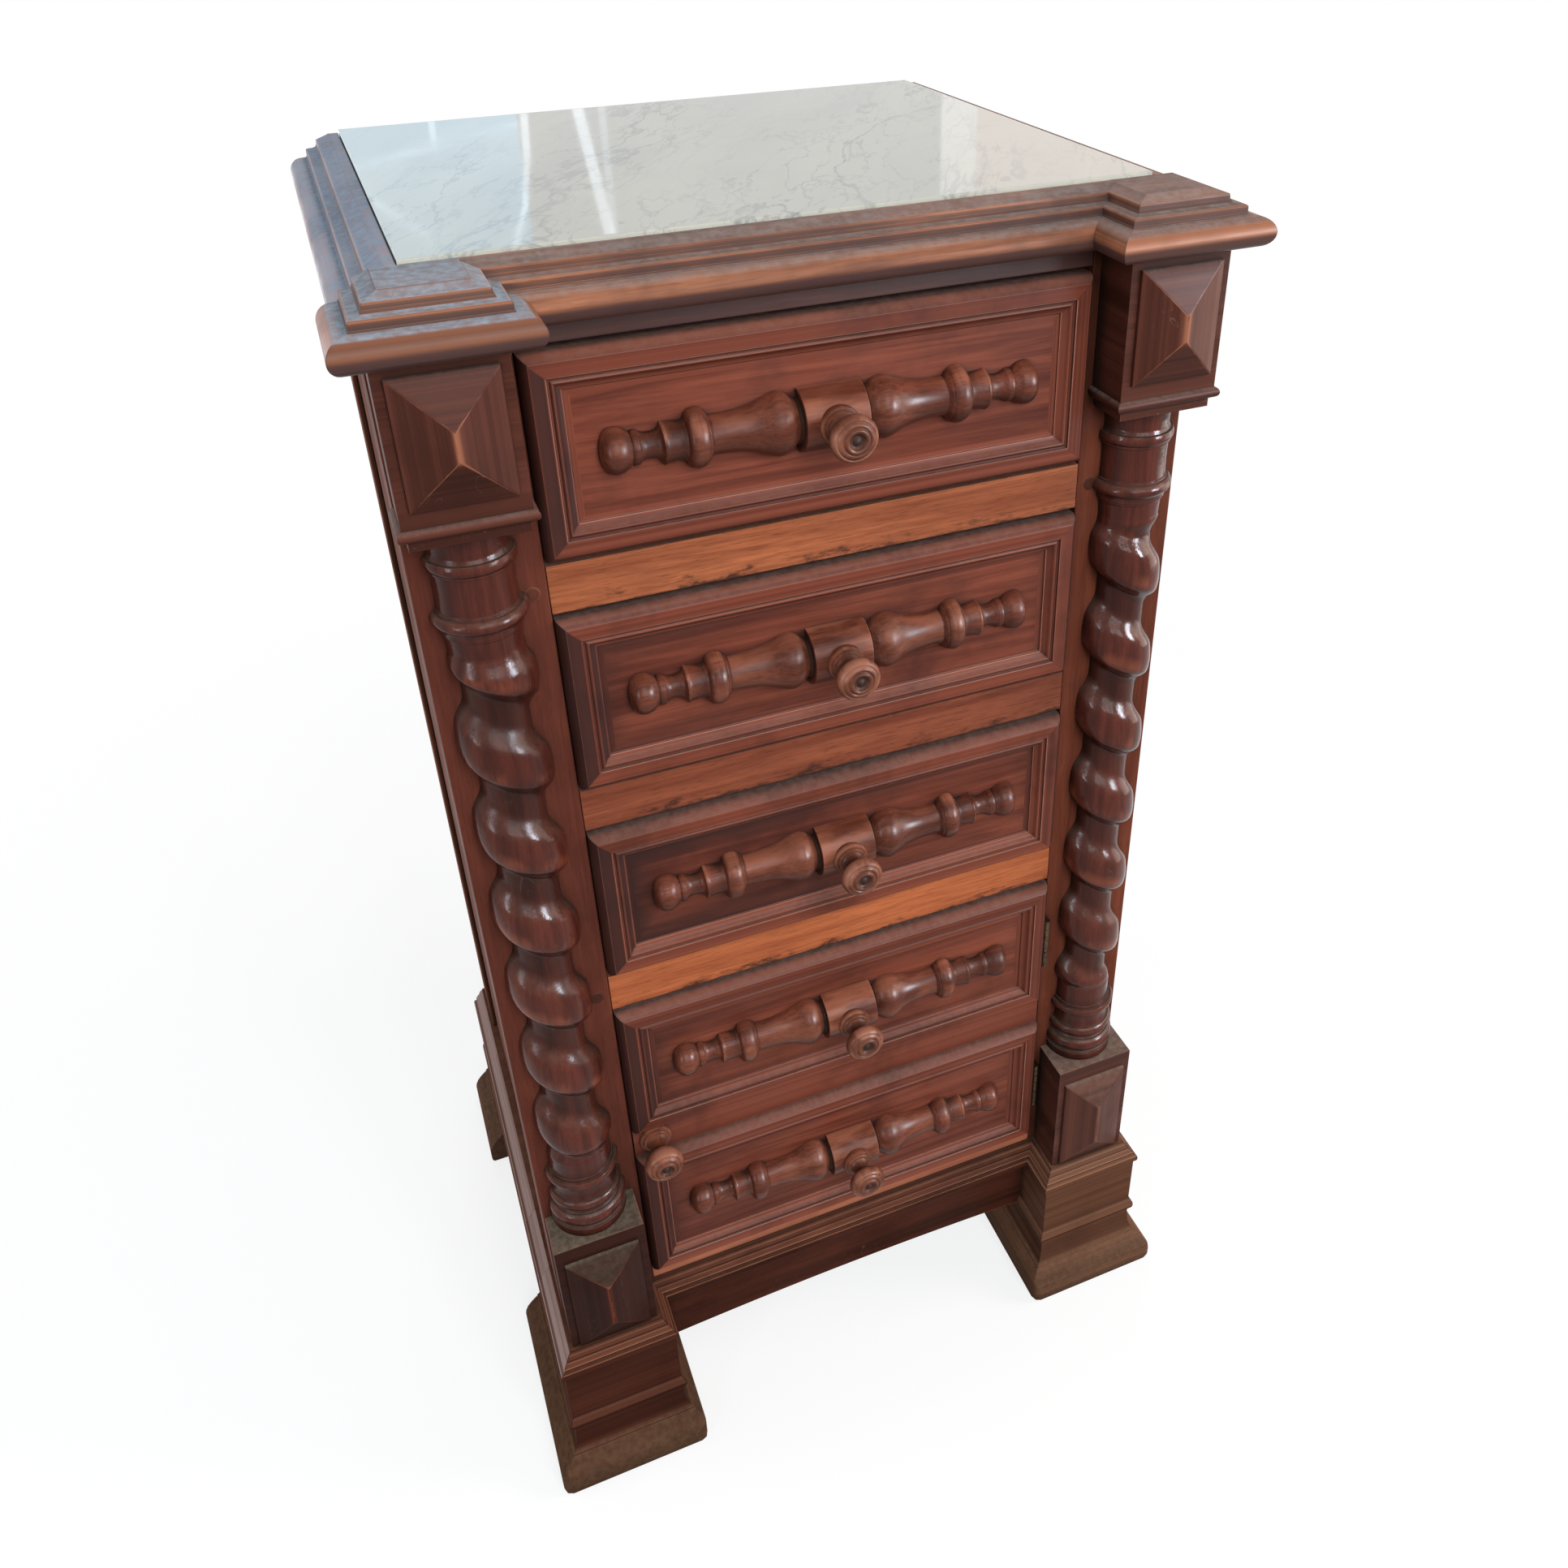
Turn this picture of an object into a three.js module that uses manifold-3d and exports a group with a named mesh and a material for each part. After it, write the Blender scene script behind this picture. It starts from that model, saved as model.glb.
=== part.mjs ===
// A narrow walnut cabinet with a marble top, in the Louis XIII style: three drawers over a door
// that carries two false drawer fronts, between twisted half columns on pedestals.
// Millimetres, +Z up, front towards -Y, origin on the floor under the middle of the whole.

import * as THREE from "three";
import { mergeVertices } from "three/addons/utils/BufferGeometryUtils.js";
import Module from "manifold-3d";

const wasm = await Module();
wasm.setup();

// Overall sizes: the carcass is measured over its corner posts
const WIDTH = 507;
const DEPTH = 390;
const HEIGHT = 1004;
const FIT = 0.3; // gap between pieces that fit each other
const WELD = 1e-3; // points closer than this are one point

// Carcass
const POST_WIDTH = 76;
const POST_DEPTH = 57;
const REAR_POST_WIDTH = 30;
const SIDE_THICK = 10;
const SIDE_RECESS = 4;
const GROOVE_DEPTH = 6;
const BACK_THICK = 8;
const BACK_LAP = 10;
const BOARD_THICK = 12;
const RAIL_HEIGHT = 32;
const RAIL_DEPTH = 20;
const TOP_BOARD_THICK = 12.5;
const FLOOR_BOARD_THICK = 11;

// Heights of the base, the pedestals and the top mouldings
const BASE_HEIGHT = 150;
const PEDESTAL_HEIGHT = 119;
const CORNICE_HEIGHT = 33.2;
const MARBLE_PROUD = 2.3;
const MARBLE_THICK = 20;
const MARBLE_SET_IN = 27.3; // marble edge to the outside of the carcass
const MARBLE_SET_BACK = 17.5; // marble front to the front of the posts
const MARBLE_LEDGE = 14;

// Blocks that stand on the corner posts, above and below each column
const BLOCK_REACH = 34.5;
const BLOCK_SET_IN = 1;
const BLOCK_INNER_SET_IN = 5.5;
const CAPITAL_HEIGHT = 104;
const PLATE_HEIGHT = 6.5;
const PLATE_SET_BACK = 2;
const BEAD_HEIGHT = 7;
const BEAD_REACH = 3;
const PANEL_MARGIN = 6;
const PANEL_EDGE = 2.5;
const PANEL_RISE = 13;
const ARRIS_WIDTH = 0.8;
const CAPITAL_PANEL_HEIGHT = 73;
const CAPITAL_PANEL_TOP = 7.5;
const PEDESTAL_PANEL_HEIGHT = 101;
const PEDESTAL_PANEL_TOP = 16;

// Top moulding, from its underside up; its reach is from the face of the block or rail below
const NOSE_REACH = 18;
const NOSE_HEIGHT = 18.4;
const FASCIA_REACH = 4.8;
const FASCIA_HEIGHT = 5.8;
const SECOND_FASCIA_SET_BACK = 3.3;
const CAP_SET_BACK = 12.3;
const SIDE_MOULDING_SET_IN = 7.7;
const NOSE_STEPS = 6;

// Base moulding, from the floor up; its reach is from the face of the pedestal above
const FOOT_REACH = 29.7;
const FOOT_INNER_REACH = 24;
const FOOT_TOE = 20;
const FOOT_SHOULDER = 33;
const FOOT_SHOULDER_REACH = 16;
const PLINTH_REACH = 10.5;
const COVE_TOP = 60;
const BASE_BEAD_HEIGHT = 15;
const BASE_BEAD_REACH = 3.5;
const COVE_STEPS = 3;
const BASE_BEAD_STEPS = 4;
const LIP_REACH = 12.6;
const LIP_DROP = 20; // top of the base down to the underside of its lip
const LIP_HEIGHT = 7;
const RAMP_HEIGHT = 11;
const RAMP_TOP_REACH = 2.5;
const FOOT_BACK = 45; // back of the front foot's inner return
const FOOT_SIDE_BACK = 105; // back of its outer return
const REAR_FOOT_DEPTH = 94;
const PLINTH_THICK = 25;
const APRON_THICK = 16;
const APRON_REACH = 2;
const APRON_BOTTOM = 65;
const APRON_ARCH = 6;
const APRON_STEPS = 8;

// Twisted half columns
const COLUMN_RADIUS = 27.5;
const TWIST_VALLEY = 18.5;
const TWIST_PITCH = 68;
const TWIST_BULGE = 0.7; // below 1 the crests are broad and the valleys narrow
const TWIST_STEPS = 8; // rings in each turn
const TWIST_FADE = 16; // height over which the twist dies out at each end
const COLUMN_SIDES = 8;
const COLUMN_BASE_HEIGHT = 76;
const COLUMN_HEAD_HEIGHT = 80.5;
const LEFT_CREST_DROP = 160; // top of the left column to a crest at its front
const RIGHT_CREST_DROP = 190;

// Outlines of the turned work, as shares of height or length and of radius
const columnBaseShares = [
  [0, 1.03],
  [0.03, 1.07],
  [0.17, 1.07],
  [0.21, 0.99],
  [0.23, 0.93],
  [0.25, 1],
  [0.35, 1],
  [0.37, 0.89],
  [0.46, 0.84],
  [0.56, 0.9],
  [0.59, 0.98],
  [0.66, 1.01],
  [0.74, 0.98],
  [0.77, 0.86],
  [1, 0.84],
];
const columnHeadShares = [
  [0, 0.8],
  [0.03, 0.83],
  [0.16, 0.83],
  [0.19, 0.78],
  [0.22, 0.96],
  [0.28, 1.03],
  [0.35, 0.96],
  [0.37, 0.87],
  [0.65, 0.86],
  [0.67, 0.92],
  [0.73, 0.96],
  [0.8, 0.92],
  [0.82, 0.82],
  [0.92, 0.85],
  [1, 0.93],
];
const spindleShares = [
  [0, 1],
  [0.144, 1],
  [0.147, 0.7],
  [0.2, 0.95],
  [0.24, 1],
  [0.28, 0.97],
  [0.36, 0.75],
  [0.535, 0.6],
  [0.55, 0.8],
  [0.595, 0.91],
  [0.64, 0.8],
  [0.665, 0.6],
  [0.735, 0.62],
  [0.745, 0.44],
  [0.84, 0.44],
  [0.87, 0.5],
  [0.9, 0.67],
  [0.935, 0.71],
  [0.97, 0.62],
  [1, 0.28],
];
const knobShares = [
  [0.08, 0.84],
  [0.16, 0.62],
  [0.28, 0.45],
  [0.45, 0.45],
  [0.56, 0.6],
  [0.68, 0.95],
  [0.79, 1],
  [0.9, 0.9],
  [1, 0.6],
  [1, 0.36],
  [0.93, 0.24],
];

// Fronts of the drawers and the door; they stand proud of the posts by their bevelled edge
const FRONT_GAP = 0.8; // each side of a front in its opening
const FRONT_TOP_GAP = 3.8;
const FRONT_BOTTOM_GAP = 3.3;
const FRONT_THICK = 14;
const BEVEL_WIDTH = 5.5;
const BEVEL_RISE = 8;
const FRAME_FLAT = 7.5;
const FRAME_STEP = 1.2;
const COVE_WIDTH = 9.5;
const COVE_DEPTH = 5;
const COVE_SAG = 1.4;
const SPINDLE_END_GAP = 15.2; // end of a spindle to the frame of its front
const SPINDLE_RADIUS = 20;
const SPINDLE_SIDES = 6;
const KNOB_RADIUS = 14.8;
const KNOB_LENGTH = 28.5;
const KNOB_FLANGE = 12.5;
const KNOB_SEAT = 4.5; // how deep the flange sits in the spindle
const KNOB_SPIGOT = 5;
const KNOB_SPIGOT_LENGTH = 8;
const KNOB_SIDES = 12;

// Drawer boxes
const DRAWERS = 3;
const DRAWER_OPENING = 132;
const DRAWER_CLEAR = 2.5; // box to the posts, each side
const DRAWER_SIDE_THICK = 11;
const DRAWER_HEADROOM = 22; // above the drawer's sides, in its opening
const DRAWER_BACK_THICK = 10;
const DRAWER_DEPTH = 336;
const DRAWER_BOTTOM_THICK = 5.7;
const DRAWER_BOTTOM_LIFT = 6;
const DRAWER_GROOVE = 5;
const GUIDE_WIDTH = 14;
const GUIDE_HEIGHT = 10;

// Door
const DOOR_BAND = 30; // plain band between its two false fronts
const lowerFrontShare = 0.523; // of what the band leaves
const DOOR_PULL_IN = 17; // pull to the door's free edge
const DOOR_PULL_LENGTH = 36;
const HINGE_LENGTH = 50;
const HINGE_FROM_END = 38;
const KNUCKLE_RADIUS = 2.4;
const KNUCKLE_FORWARD = 4;
const PIN_RADIUS = 1.1;
const LEAF_THICK = 1.2;
const LEAF_DEPTH = 13;
const KNUCKLE_SIDES = 12;

// Places worked out from the sizes above
const halfWidth = WIDTH / 2;
const openingHalf = halfWidth - POST_WIDTH;
const corniceBase = HEIGHT - MARBLE_PROUD - CORNICE_HEIGHT;
const openingTop = corniceBase - TOP_BOARD_THICK;
const floorTop = BASE_HEIGHT + FLOOR_BOARD_THICK;
const pedestalTop = BASE_HEIGHT + PEDESTAL_HEIGHT;
const lipBottom = BASE_HEIGHT - LIP_DROP;
const capitalBase = corniceBase - CAPITAL_HEIGHT;
const marbleHalf = halfWidth - MARBLE_SET_IN;
const marbleBase = HEIGHT - MARBLE_THICK;
const block = {
  inner: openingHalf + BLOCK_INNER_SET_IN,
  outer: halfWidth - BLOCK_SET_IN,
  front: -BLOCK_REACH,
};
const blockMiddle = (block.inner + block.outer) / 2;
const tierPitch = DRAWER_OPENING + RAIL_HEIGHT;
const drawerSideHeight = DRAWER_OPENING - DRAWER_HEADROOM;
const panelPlane = FRAME_STEP + COVE_DEPTH - BEVEL_RISE;
const frameWidth = BEVEL_WIDTH + FRAME_FLAT + COVE_WIDTH;
const spindleHalf = openingHalf - FRONT_GAP - frameWidth - SPINDLE_END_GAP;

// Materials: each sub-part has its own
function finish(colour, roughness, metalness = 0) {
  return new THREE.MeshStandardMaterial({ color: colour, roughness, metalness });
}
const walnut = () => finish("#5a2f22", 0.45);
const darkWalnut = () => finish("#452419", 0.5);
const railWood = () => finish("#8a5430", 0.5);
const boxWood = () => finish("#a07a52", 0.75);
const marble = () => finish("#d3d4cf", 0.15);
const brass = () => finish("#8c6a35", 0.4, 1);

// A box between three pairs of limits
function box([x0, x1], [y0, y1], [z0, z1]) {
  const geometry = new THREE.BoxGeometry(x1 - x0, y1 - y0, z1 - z0);
  return geometry.translate((x0 + x1) / 2, (y0 + y1) / 2, (z0 + z1) / 2);
}

const X = new THREE.Vector3(1, 0, 0);
const Y = new THREE.Vector3(0, 1, 0);
const Z = new THREE.Vector3(0, 0, 1);

// An outline extruded along an axis: its points are (y, z) for x, (z, x) for y and (x, y) for z
function prism(outline, axis, from, to) {
  const shape = new THREE.Shape(outline.map(([u, v]) => new THREE.Vector2(u, v)));
  const geometry = new THREE.ExtrudeGeometry(shape, { depth: to - from, bevelEnabled: false });
  const turns = {
    x: new THREE.Matrix4().makeBasis(Y, Z, X),
    y: new THREE.Matrix4().makeBasis(Z, X, Y),
    z: new THREE.Matrix4(),
  };
  return geometry.translate(0, 0, from).applyMatrix4(turns[axis]);
}

function signedVolume(geometry) {
  const flat = geometry.index ? geometry.toNonIndexed() : geometry;
  const corners = [new THREE.Vector3(), new THREE.Vector3(), new THREE.Vector3()];
  const { position } = flat.attributes;
  let volume = 0;
  for (let i = 0; i < position.count; i += 3) {
    corners.forEach((corner, k) => corner.fromBufferAttribute(position, i + k));
    volume += corners[0].dot(corners[1].cross(corners[2]));
  }
  return volume;
}

function turnFacesOut(geometry) {
  if (signedVolume(geometry) > 0) return geometry;
  const { array } = geometry.index;
  for (let i = 0; i < array.length; i += 3) {
    const kept = array[i];
    array[i] = array[i + 1];
    array[i + 1] = kept;
  }
  return geometry;
}

// Triangles over a flat ring, wound the way the ring runs
function capTriangles(ring) {
  const points = ring.map((p) => new THREE.Vector3(...p));
  const normal = new THREE.Vector3();
  points.forEach((p, i) => normal.add(p.clone().cross(points[(i + 1) % points.length])));
  normal.normalize();
  const across = Math.abs(normal.z) < Math.SQRT1_2 ? Z.clone() : X.clone();
  across.cross(normal).normalize();
  const up = normal.clone().cross(across);
  const flat = points.map((p) => new THREE.Vector2(p.dot(across), p.dot(up)));
  return THREE.ShapeUtils.triangulateShape(flat, []).map(([a, b, c]) => {
    const turn = THREE.ShapeUtils.area([flat[a], flat[b], flat[c]]);
    return turn > 0 ? [a, b, c] : [a, c, b];
  });
}

// A closed body through a row of rings that have equally many points
function loft(rings) {
  const size = rings[0].length;
  const last = (rings.length - 1) * size;
  const index = [];
  for (let i = 0; i + 1 < rings.length; i++) {
    for (let j = 0; j < size; j++) {
      const a = i * size + j;
      const b = i * size + ((j + 1) % size);
      index.push(a, b, b + size, a, b + size, a + size);
    }
  }
  capTriangles(rings[0]).forEach(([a, b, c]) => index.push(a, c, b));
  capTriangles(rings.at(-1)).forEach(([a, b, c]) => index.push(last + a, last + b, last + c));
  const geometry = new THREE.BufferGeometry();
  geometry.setAttribute("position", new THREE.Float32BufferAttribute(rings.flat(2), 3));
  geometry.setIndex(index);
  return turnFacesOut(geometry);
}

function solid(geometry) {
  const bare = geometry.index ? geometry.toNonIndexed() : geometry.clone();
  bare.deleteAttribute("normal");
  bare.deleteAttribute("uv");
  const merged = mergeVertices(bare, WELD);
  const vertProperties = merged.attributes.position.array;
  const triVerts = new Uint32Array(merged.index.array);
  return new wasm.Manifold(new wasm.Mesh({ numProp: 3, vertProperties, triVerts }));
}

function geometryOf(manifold) {
  const { vertProperties, triVerts } = manifold.getMesh();
  const geometry = new THREE.BufferGeometry();
  geometry.setAttribute("position", new THREE.BufferAttribute(vertProperties, 3));
  return geometry.setIndex(new THREE.BufferAttribute(triVerts, 1));
}

function join(...parts) {
  return geometryOf(parts.map(solid).reduce((whole, part) => whole.add(part)));
}

function cut(body, ...tools) {
  return geometryOf(tools.map(solid).reduce((left, tool) => left.subtract(tool), solid(body)));
}

function mirrored(geometry) {
  const flat = geometry.index ? geometry.toNonIndexed() : geometry.clone();
  const bare = new THREE.BufferGeometry().setAttribute("position", flat.getAttribute("position"));
  bare.applyMatrix4(new THREE.Matrix4().makeScale(-1, 1, 1));
  return turnFacesOut(mergeVertices(bare, WELD));
}

const cabinet = new THREE.Group();

function piece(name, geometry, material, parent = cabinet) {
  const shaded = geometry.index ? geometry.toNonIndexed() : geometry;
  shaded.computeVertexNormals();
  const mesh = new THREE.Mesh(shaded, material);
  mesh.name = name;
  parent.add(mesh);
  return mesh;
}

// The right-hand piece and its mirror image
function pair(name, geometry, material) {
  piece(name + "_right", geometry, material());
  piece(name + "_left", mirrored(geometry), material());
}

// Mouldings: a profile is a list of [reach, height] from its lowest point up
function arc(centreReach, centreUp, radius, from, to, steps, width = radius) {
  return Array.from({ length: steps + 1 }, (_, i) => {
    const angle = from + ((to - from) * i) / steps;
    return [centreReach + width * Math.cos(angle), centreUp + radius * Math.sin(angle)];
  });
}

function corniceProfile() {
  const noseRadius = NOSE_HEIGHT / 2;
  const quarter = Math.PI / 2;
  const fasciaTop = NOSE_HEIGHT + FASCIA_HEIGHT;
  return [
    ...arc(NOSE_REACH - noseRadius, noseRadius, noseRadius, -quarter, quarter, NOSE_STEPS),
    [FASCIA_REACH, NOSE_HEIGHT],
    [FASCIA_REACH, fasciaTop],
    [-SECOND_FASCIA_SET_BACK, fasciaTop],
    [-SECOND_FASCIA_SET_BACK, fasciaTop + FASCIA_HEIGHT],
    [-CAP_SET_BACK, CORNICE_HEIGHT],
  ];
}

// The plinth with its bead, lip and ramp, which runs round the feet and along the sides
function plinthProfile() {
  const radius = BASE_BEAD_HEIGHT / 2;
  const quarter = Math.PI / 2;
  const middle = COVE_TOP + radius;
  return [
    ...arc(PLINTH_REACH, middle, radius, -quarter, quarter, BASE_BEAD_STEPS, BASE_BEAD_REACH),
    [PLINTH_REACH, lipBottom],
    [LIP_REACH, lipBottom],
    [LIP_REACH, lipBottom + LIP_HEIGHT],
    [PLINTH_REACH, BASE_HEIGHT - RAMP_HEIGHT],
    [RAMP_TOP_REACH, BASE_HEIGHT],
  ];
}

// The foot's toe, sloping shoulder and hollow below the plinth's bead
function footProfile() {
  const hollow = FOOT_SHOULDER_REACH - PLINTH_REACH;
  const rise = COVE_TOP - FOOT_SHOULDER;
  const quarter = Math.PI / 2;
  const cove = arc(FOOT_SHOULDER_REACH, COVE_TOP, rise, -quarter, -Math.PI, COVE_STEPS, hollow);
  return [[FOOT_REACH, 0], [FOOT_REACH, FOOT_TOE], ...cove, ...plinthProfile().slice(1)];
}

// A stack of rectangles that follows a profile on the inner, front and outer faces of a plan
function profiled(profile, plan, base, grow = 0) {
  const last = profile.length - 1;
  const innerLimit = plan.innerReach ?? Infinity;
  return loft(
    profile.map(([reach, up], i) => {
      const outward = reach + grow;
      const inward = Math.min(reach, innerLimit) + grow;
      const x0 = plan.inner - (plan.flatInside ? 0 : inward);
      const x1 = plan.outer + outward;
      const y0 = plan.front - (plan.flatFront ? 0 : outward);
      const y1 = plan.back + grow;
      const end = i === 0 ? -grow : i === last ? grow : 0;
      const z = base + up + end;
      return [
        [x0, y0, z],
        [x1, y0, z],
        [x1, y1, z],
        [x0, y1, z],
      ];
    }),
  );
}

// A raised panel whose four slopes meet in an upright arris, on a face at y = front
function hipPanel(width, height, top, front) {
  const middle = top - height / 2;
  const arrisWidth = Math.max(width - height, 0) + ARRIS_WIDTH;
  const arrisHeight = Math.max(height - width, 0) + ARRIS_WIDTH;
  const ring = (w, h, y) => [
    [blockMiddle - w / 2, y, middle - h / 2],
    [blockMiddle + w / 2, y, middle - h / 2],
    [blockMiddle + w / 2, y, middle + h / 2],
    [blockMiddle - w / 2, y, middle + h / 2],
  ];
  return loft([
    ring(width, height, front + PANEL_EDGE),
    ring(width, height, front - PANEL_EDGE),
    ring(arrisWidth, arrisHeight, front - PANEL_RISE),
  ]);
}

// Marble and its frame of mouldings
function addTop() {
  const marbleFront = MARBLE_SET_BACK + FIT;
  const slab = box([-marbleHalf + FIT, marbleHalf - FIT], [marbleFront, DEPTH], [marbleBase, HEIGHT]);
  piece("marble_top", slab, marble());

  const capPlan = { ...block, back: MARBLE_SET_BACK };
  const cap = profiled(corniceProfile(), capPlan, corniceBase);
  const capRoom = profiled(corniceProfile(), capPlan, corniceBase, FIT);
  pair("corner_cap", cap, walnut);

  const ledgeTop = marbleBase - FIT;
  const innerReach = -MARBLE_SET_BACK;
  const section = [
    ...corniceProfile(),
    [innerReach, CORNICE_HEIGHT],
    [innerReach, ledgeTop - corniceBase],
    [innerReach - MARBLE_LEDGE, ledgeTop - corniceBase],
    [innerReach - MARBLE_LEDGE, 0],
  ];
  const frontOutline = section.map(([reach, up]) => [-reach, corniceBase + up]);
  const frontRun = prism(frontOutline, "x", -block.inner, block.inner);
  piece("cornice_front", cut(frontRun, capRoom, mirrored(capRoom)), walnut());

  const sideFace = halfWidth - SIDE_MOULDING_SET_IN;
  const sideInner = marbleHalf - sideFace;
  const sideSection = [
    ...corniceProfile(),
    [sideInner, CORNICE_HEIGHT],
    [sideInner, ledgeTop - corniceBase],
    [sideInner - MARBLE_LEDGE, ledgeTop - corniceBase],
    [sideInner - MARBLE_LEDGE, 0],
  ];
  const sideOutline = sideSection.map(([reach, up]) => [corniceBase + up, sideFace + reach]);
  pair("cornice", prism(sideOutline, "y", MARBLE_SET_BACK + FIT, DEPTH), walnut);
}

// Blocks with raised panels over and under each column
function addBlocks() {
  const panelWidth = block.outer - block.inner - 2 * PANEL_MARGIN;
  const bead = PLATE_HEIGHT + BEAD_HEIGHT;
  const capitalProfile = [
    [-PLATE_SET_BACK, 0],
    [-PLATE_SET_BACK, PLATE_HEIGHT],
    [BEAD_REACH, PLATE_HEIGHT],
    [BEAD_REACH, bead],
    [0, bead],
    [0, CAPITAL_HEIGHT],
  ];
  const plan = { ...block, back: 0 };
  const capitalPanelTop = corniceBase - CAPITAL_PANEL_TOP;
  const capitalPanel = hipPanel(panelWidth, CAPITAL_PANEL_HEIGHT, capitalPanelTop, block.front);
  pair("capital_block", join(profiled(capitalProfile, plan, capitalBase), capitalPanel), darkWalnut);

  const pedestal = box([block.inner, block.outer], [block.front, 0], [BASE_HEIGHT, pedestalTop]);
  const pedestalPanelTop = pedestalTop - PEDESTAL_PANEL_TOP;
  const pedestalPanel = hipPanel(panelWidth, PEDESTAL_PANEL_HEIGHT, pedestalPanelTop, block.front);
  pair("pedestal", join(pedestal, pedestalPanel), darkWalnut);
}

// A half ring with its flat side on the plane y = 0, at a height or distance along its axis
function halfRing(sides, radiusAt) {
  return Array.from({ length: sides + 1 }, (_, i) => {
    const angle = (Math.PI * i) / sides;
    const radius = radiusAt(angle);
    return [radius * Math.cos(angle), -radius * Math.sin(angle)];
  });
}

function twistRadius(z, angle, crest, low, high) {
  const swing = (2 * Math.PI * (z - crest)) / TWIST_PITCH - (angle - Math.PI / 2);
  const bulge = ((1 + Math.cos(swing)) / 2) ** TWIST_BULGE;
  const toEnd = Math.min(z - low, high - z) / TWIST_FADE;
  const fade = Math.min(1, Math.max(0, toEnd));
  const plain = COLUMN_RADIUS * columnHeadShares[0][1];
  const twisted = TWIST_VALLEY + (COLUMN_RADIUS - TWIST_VALLEY) * bulge;
  return plain + (twisted - plain) * fade;
}

function column(crestDrop) {
  const low = pedestalTop + COLUMN_BASE_HEIGHT;
  const high = capitalBase - COLUMN_HEAD_HEIGHT;
  const crest = capitalBase - crestDrop;
  const ring = (z, radiusAt) => halfRing(COLUMN_SIDES, radiusAt).map(([x, y]) => [x, y, z]);
  const turned = (shares, from, height) =>
    shares.map(([up, radius]) => ring(from + up * height, () => radius * COLUMN_RADIUS));
  const steps = Math.round(((high - low) / TWIST_PITCH) * TWIST_STEPS);
  const twist = Array.from({ length: steps - 1 }, (_, i) => {
    const z = low + ((high - low) * (i + 1)) / steps;
    return ring(z, (angle) => twistRadius(z, angle, crest, low, high));
  });
  const base = turned(columnBaseShares, pedestalTop, COLUMN_BASE_HEIGHT);
  const head = turned(columnHeadShares, high, COLUMN_HEAD_HEIGHT);
  return loft([...base, ...twist, ...head]);
}

// Both columns twist the same way
function addColumns() {
  const right = piece("column_right", column(RIGHT_CREST_DROP), darkWalnut());
  const left = piece("column_left", column(LEFT_CREST_DROP), darkWalnut());
  right.position.x = blockMiddle;
  left.position.x = -blockMiddle;
}

// Posts with a groove for the side panel
function addPostsAndPanels() {
  const grooveOut = halfWidth - SIDE_RECESS + FIT;
  const grooveIn = halfWidth - SIDE_RECESS - SIDE_THICK - FIT;
  const rearFront = DEPTH - POST_DEPTH;
  const frontOutline = [
    [openingHalf, 0],
    [halfWidth, 0],
    [halfWidth, POST_DEPTH],
    [grooveOut, POST_DEPTH],
    [grooveOut, POST_DEPTH - GROOVE_DEPTH - FIT],
    [grooveIn, POST_DEPTH - GROOVE_DEPTH - FIT],
    [grooveIn, POST_DEPTH],
    [openingHalf, POST_DEPTH],
  ];
  const post = prism(frontOutline, "z", BASE_HEIGHT, corniceBase);
  const mortises = hingeHeights().map((z) =>
    box(
      [openingHalf - LEAF_THICK, openingHalf + LEAF_THICK + FIT],
      [-FIT, LEAF_DEPTH + FIT],
      [z - HINGE_LENGTH / 2 - FIT, z + HINGE_LENGTH / 2 + FIT],
    ),
  );
  piece("front_post_right", cut(post, ...mortises), walnut());
  piece("front_post_left", mirrored(post), walnut());

  const rearInner = halfWidth - REAR_POST_WIDTH;
  const rearOutline = [
    [rearInner, rearFront],
    [grooveIn, rearFront],
    [grooveIn, rearFront + GROOVE_DEPTH + FIT],
    [grooveOut, rearFront + GROOVE_DEPTH + FIT],
    [grooveOut, rearFront],
    [halfWidth, rearFront],
    [halfWidth, DEPTH],
    [rearInner + BACK_LAP, DEPTH],
    [rearInner + BACK_LAP, DEPTH - BACK_THICK],
    [rearInner, DEPTH - BACK_THICK],
  ];
  pair("rear_post", prism(rearOutline, "z", BASE_HEIGHT, corniceBase), walnut);

  const panelFace = halfWidth - SIDE_RECESS;
  const sidePanel = box(
    [panelFace - SIDE_THICK, panelFace],
    [POST_DEPTH - GROOVE_DEPTH, rearFront + GROOVE_DEPTH],
    [BASE_HEIGHT, corniceBase],
  );
  pair("side_panel", sidePanel, walnut);

  const backHalf = rearInner + BACK_LAP - FIT;
  const tongueHalf = marbleHalf - MARBLE_LEDGE - FIT;
  const tongueTop = marbleBase - FIT;
  const backOutline = [
    [BASE_HEIGHT, -backHalf],
    [corniceBase, -backHalf],
    [corniceBase, -tongueHalf],
    [tongueTop, -tongueHalf],
    [tongueTop, tongueHalf],
    [corniceBase, tongueHalf],
    [corniceBase, backHalf],
    [BASE_HEIGHT, backHalf],
  ];
  piece("back_panel", prism(backOutline, "y", DEPTH - BACK_THICK, DEPTH), boxWood());
}

// A board that fills the carcass between its posts and side panels
function carcassBoard(from, to) {
  const frontHalf = openingHalf - FIT;
  const sideHalf = halfWidth - SIDE_RECESS - SIDE_THICK - FIT;
  const rearHalf = halfWidth - REAR_POST_WIDTH - FIT;
  const rearFront = DEPTH - POST_DEPTH - FIT;
  const half = [
    [frontHalf, 0],
    [frontHalf, POST_DEPTH + FIT],
    [sideHalf, POST_DEPTH + FIT],
    [sideHalf, rearFront],
    [rearHalf, rearFront],
    [rearHalf, DEPTH - BACK_THICK - FIT],
  ];
  const otherHalf = half.map(([x, y]) => [-x, y]).reverse();
  return prism([...half, ...otherHalf], "z", from, to);
}

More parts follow.
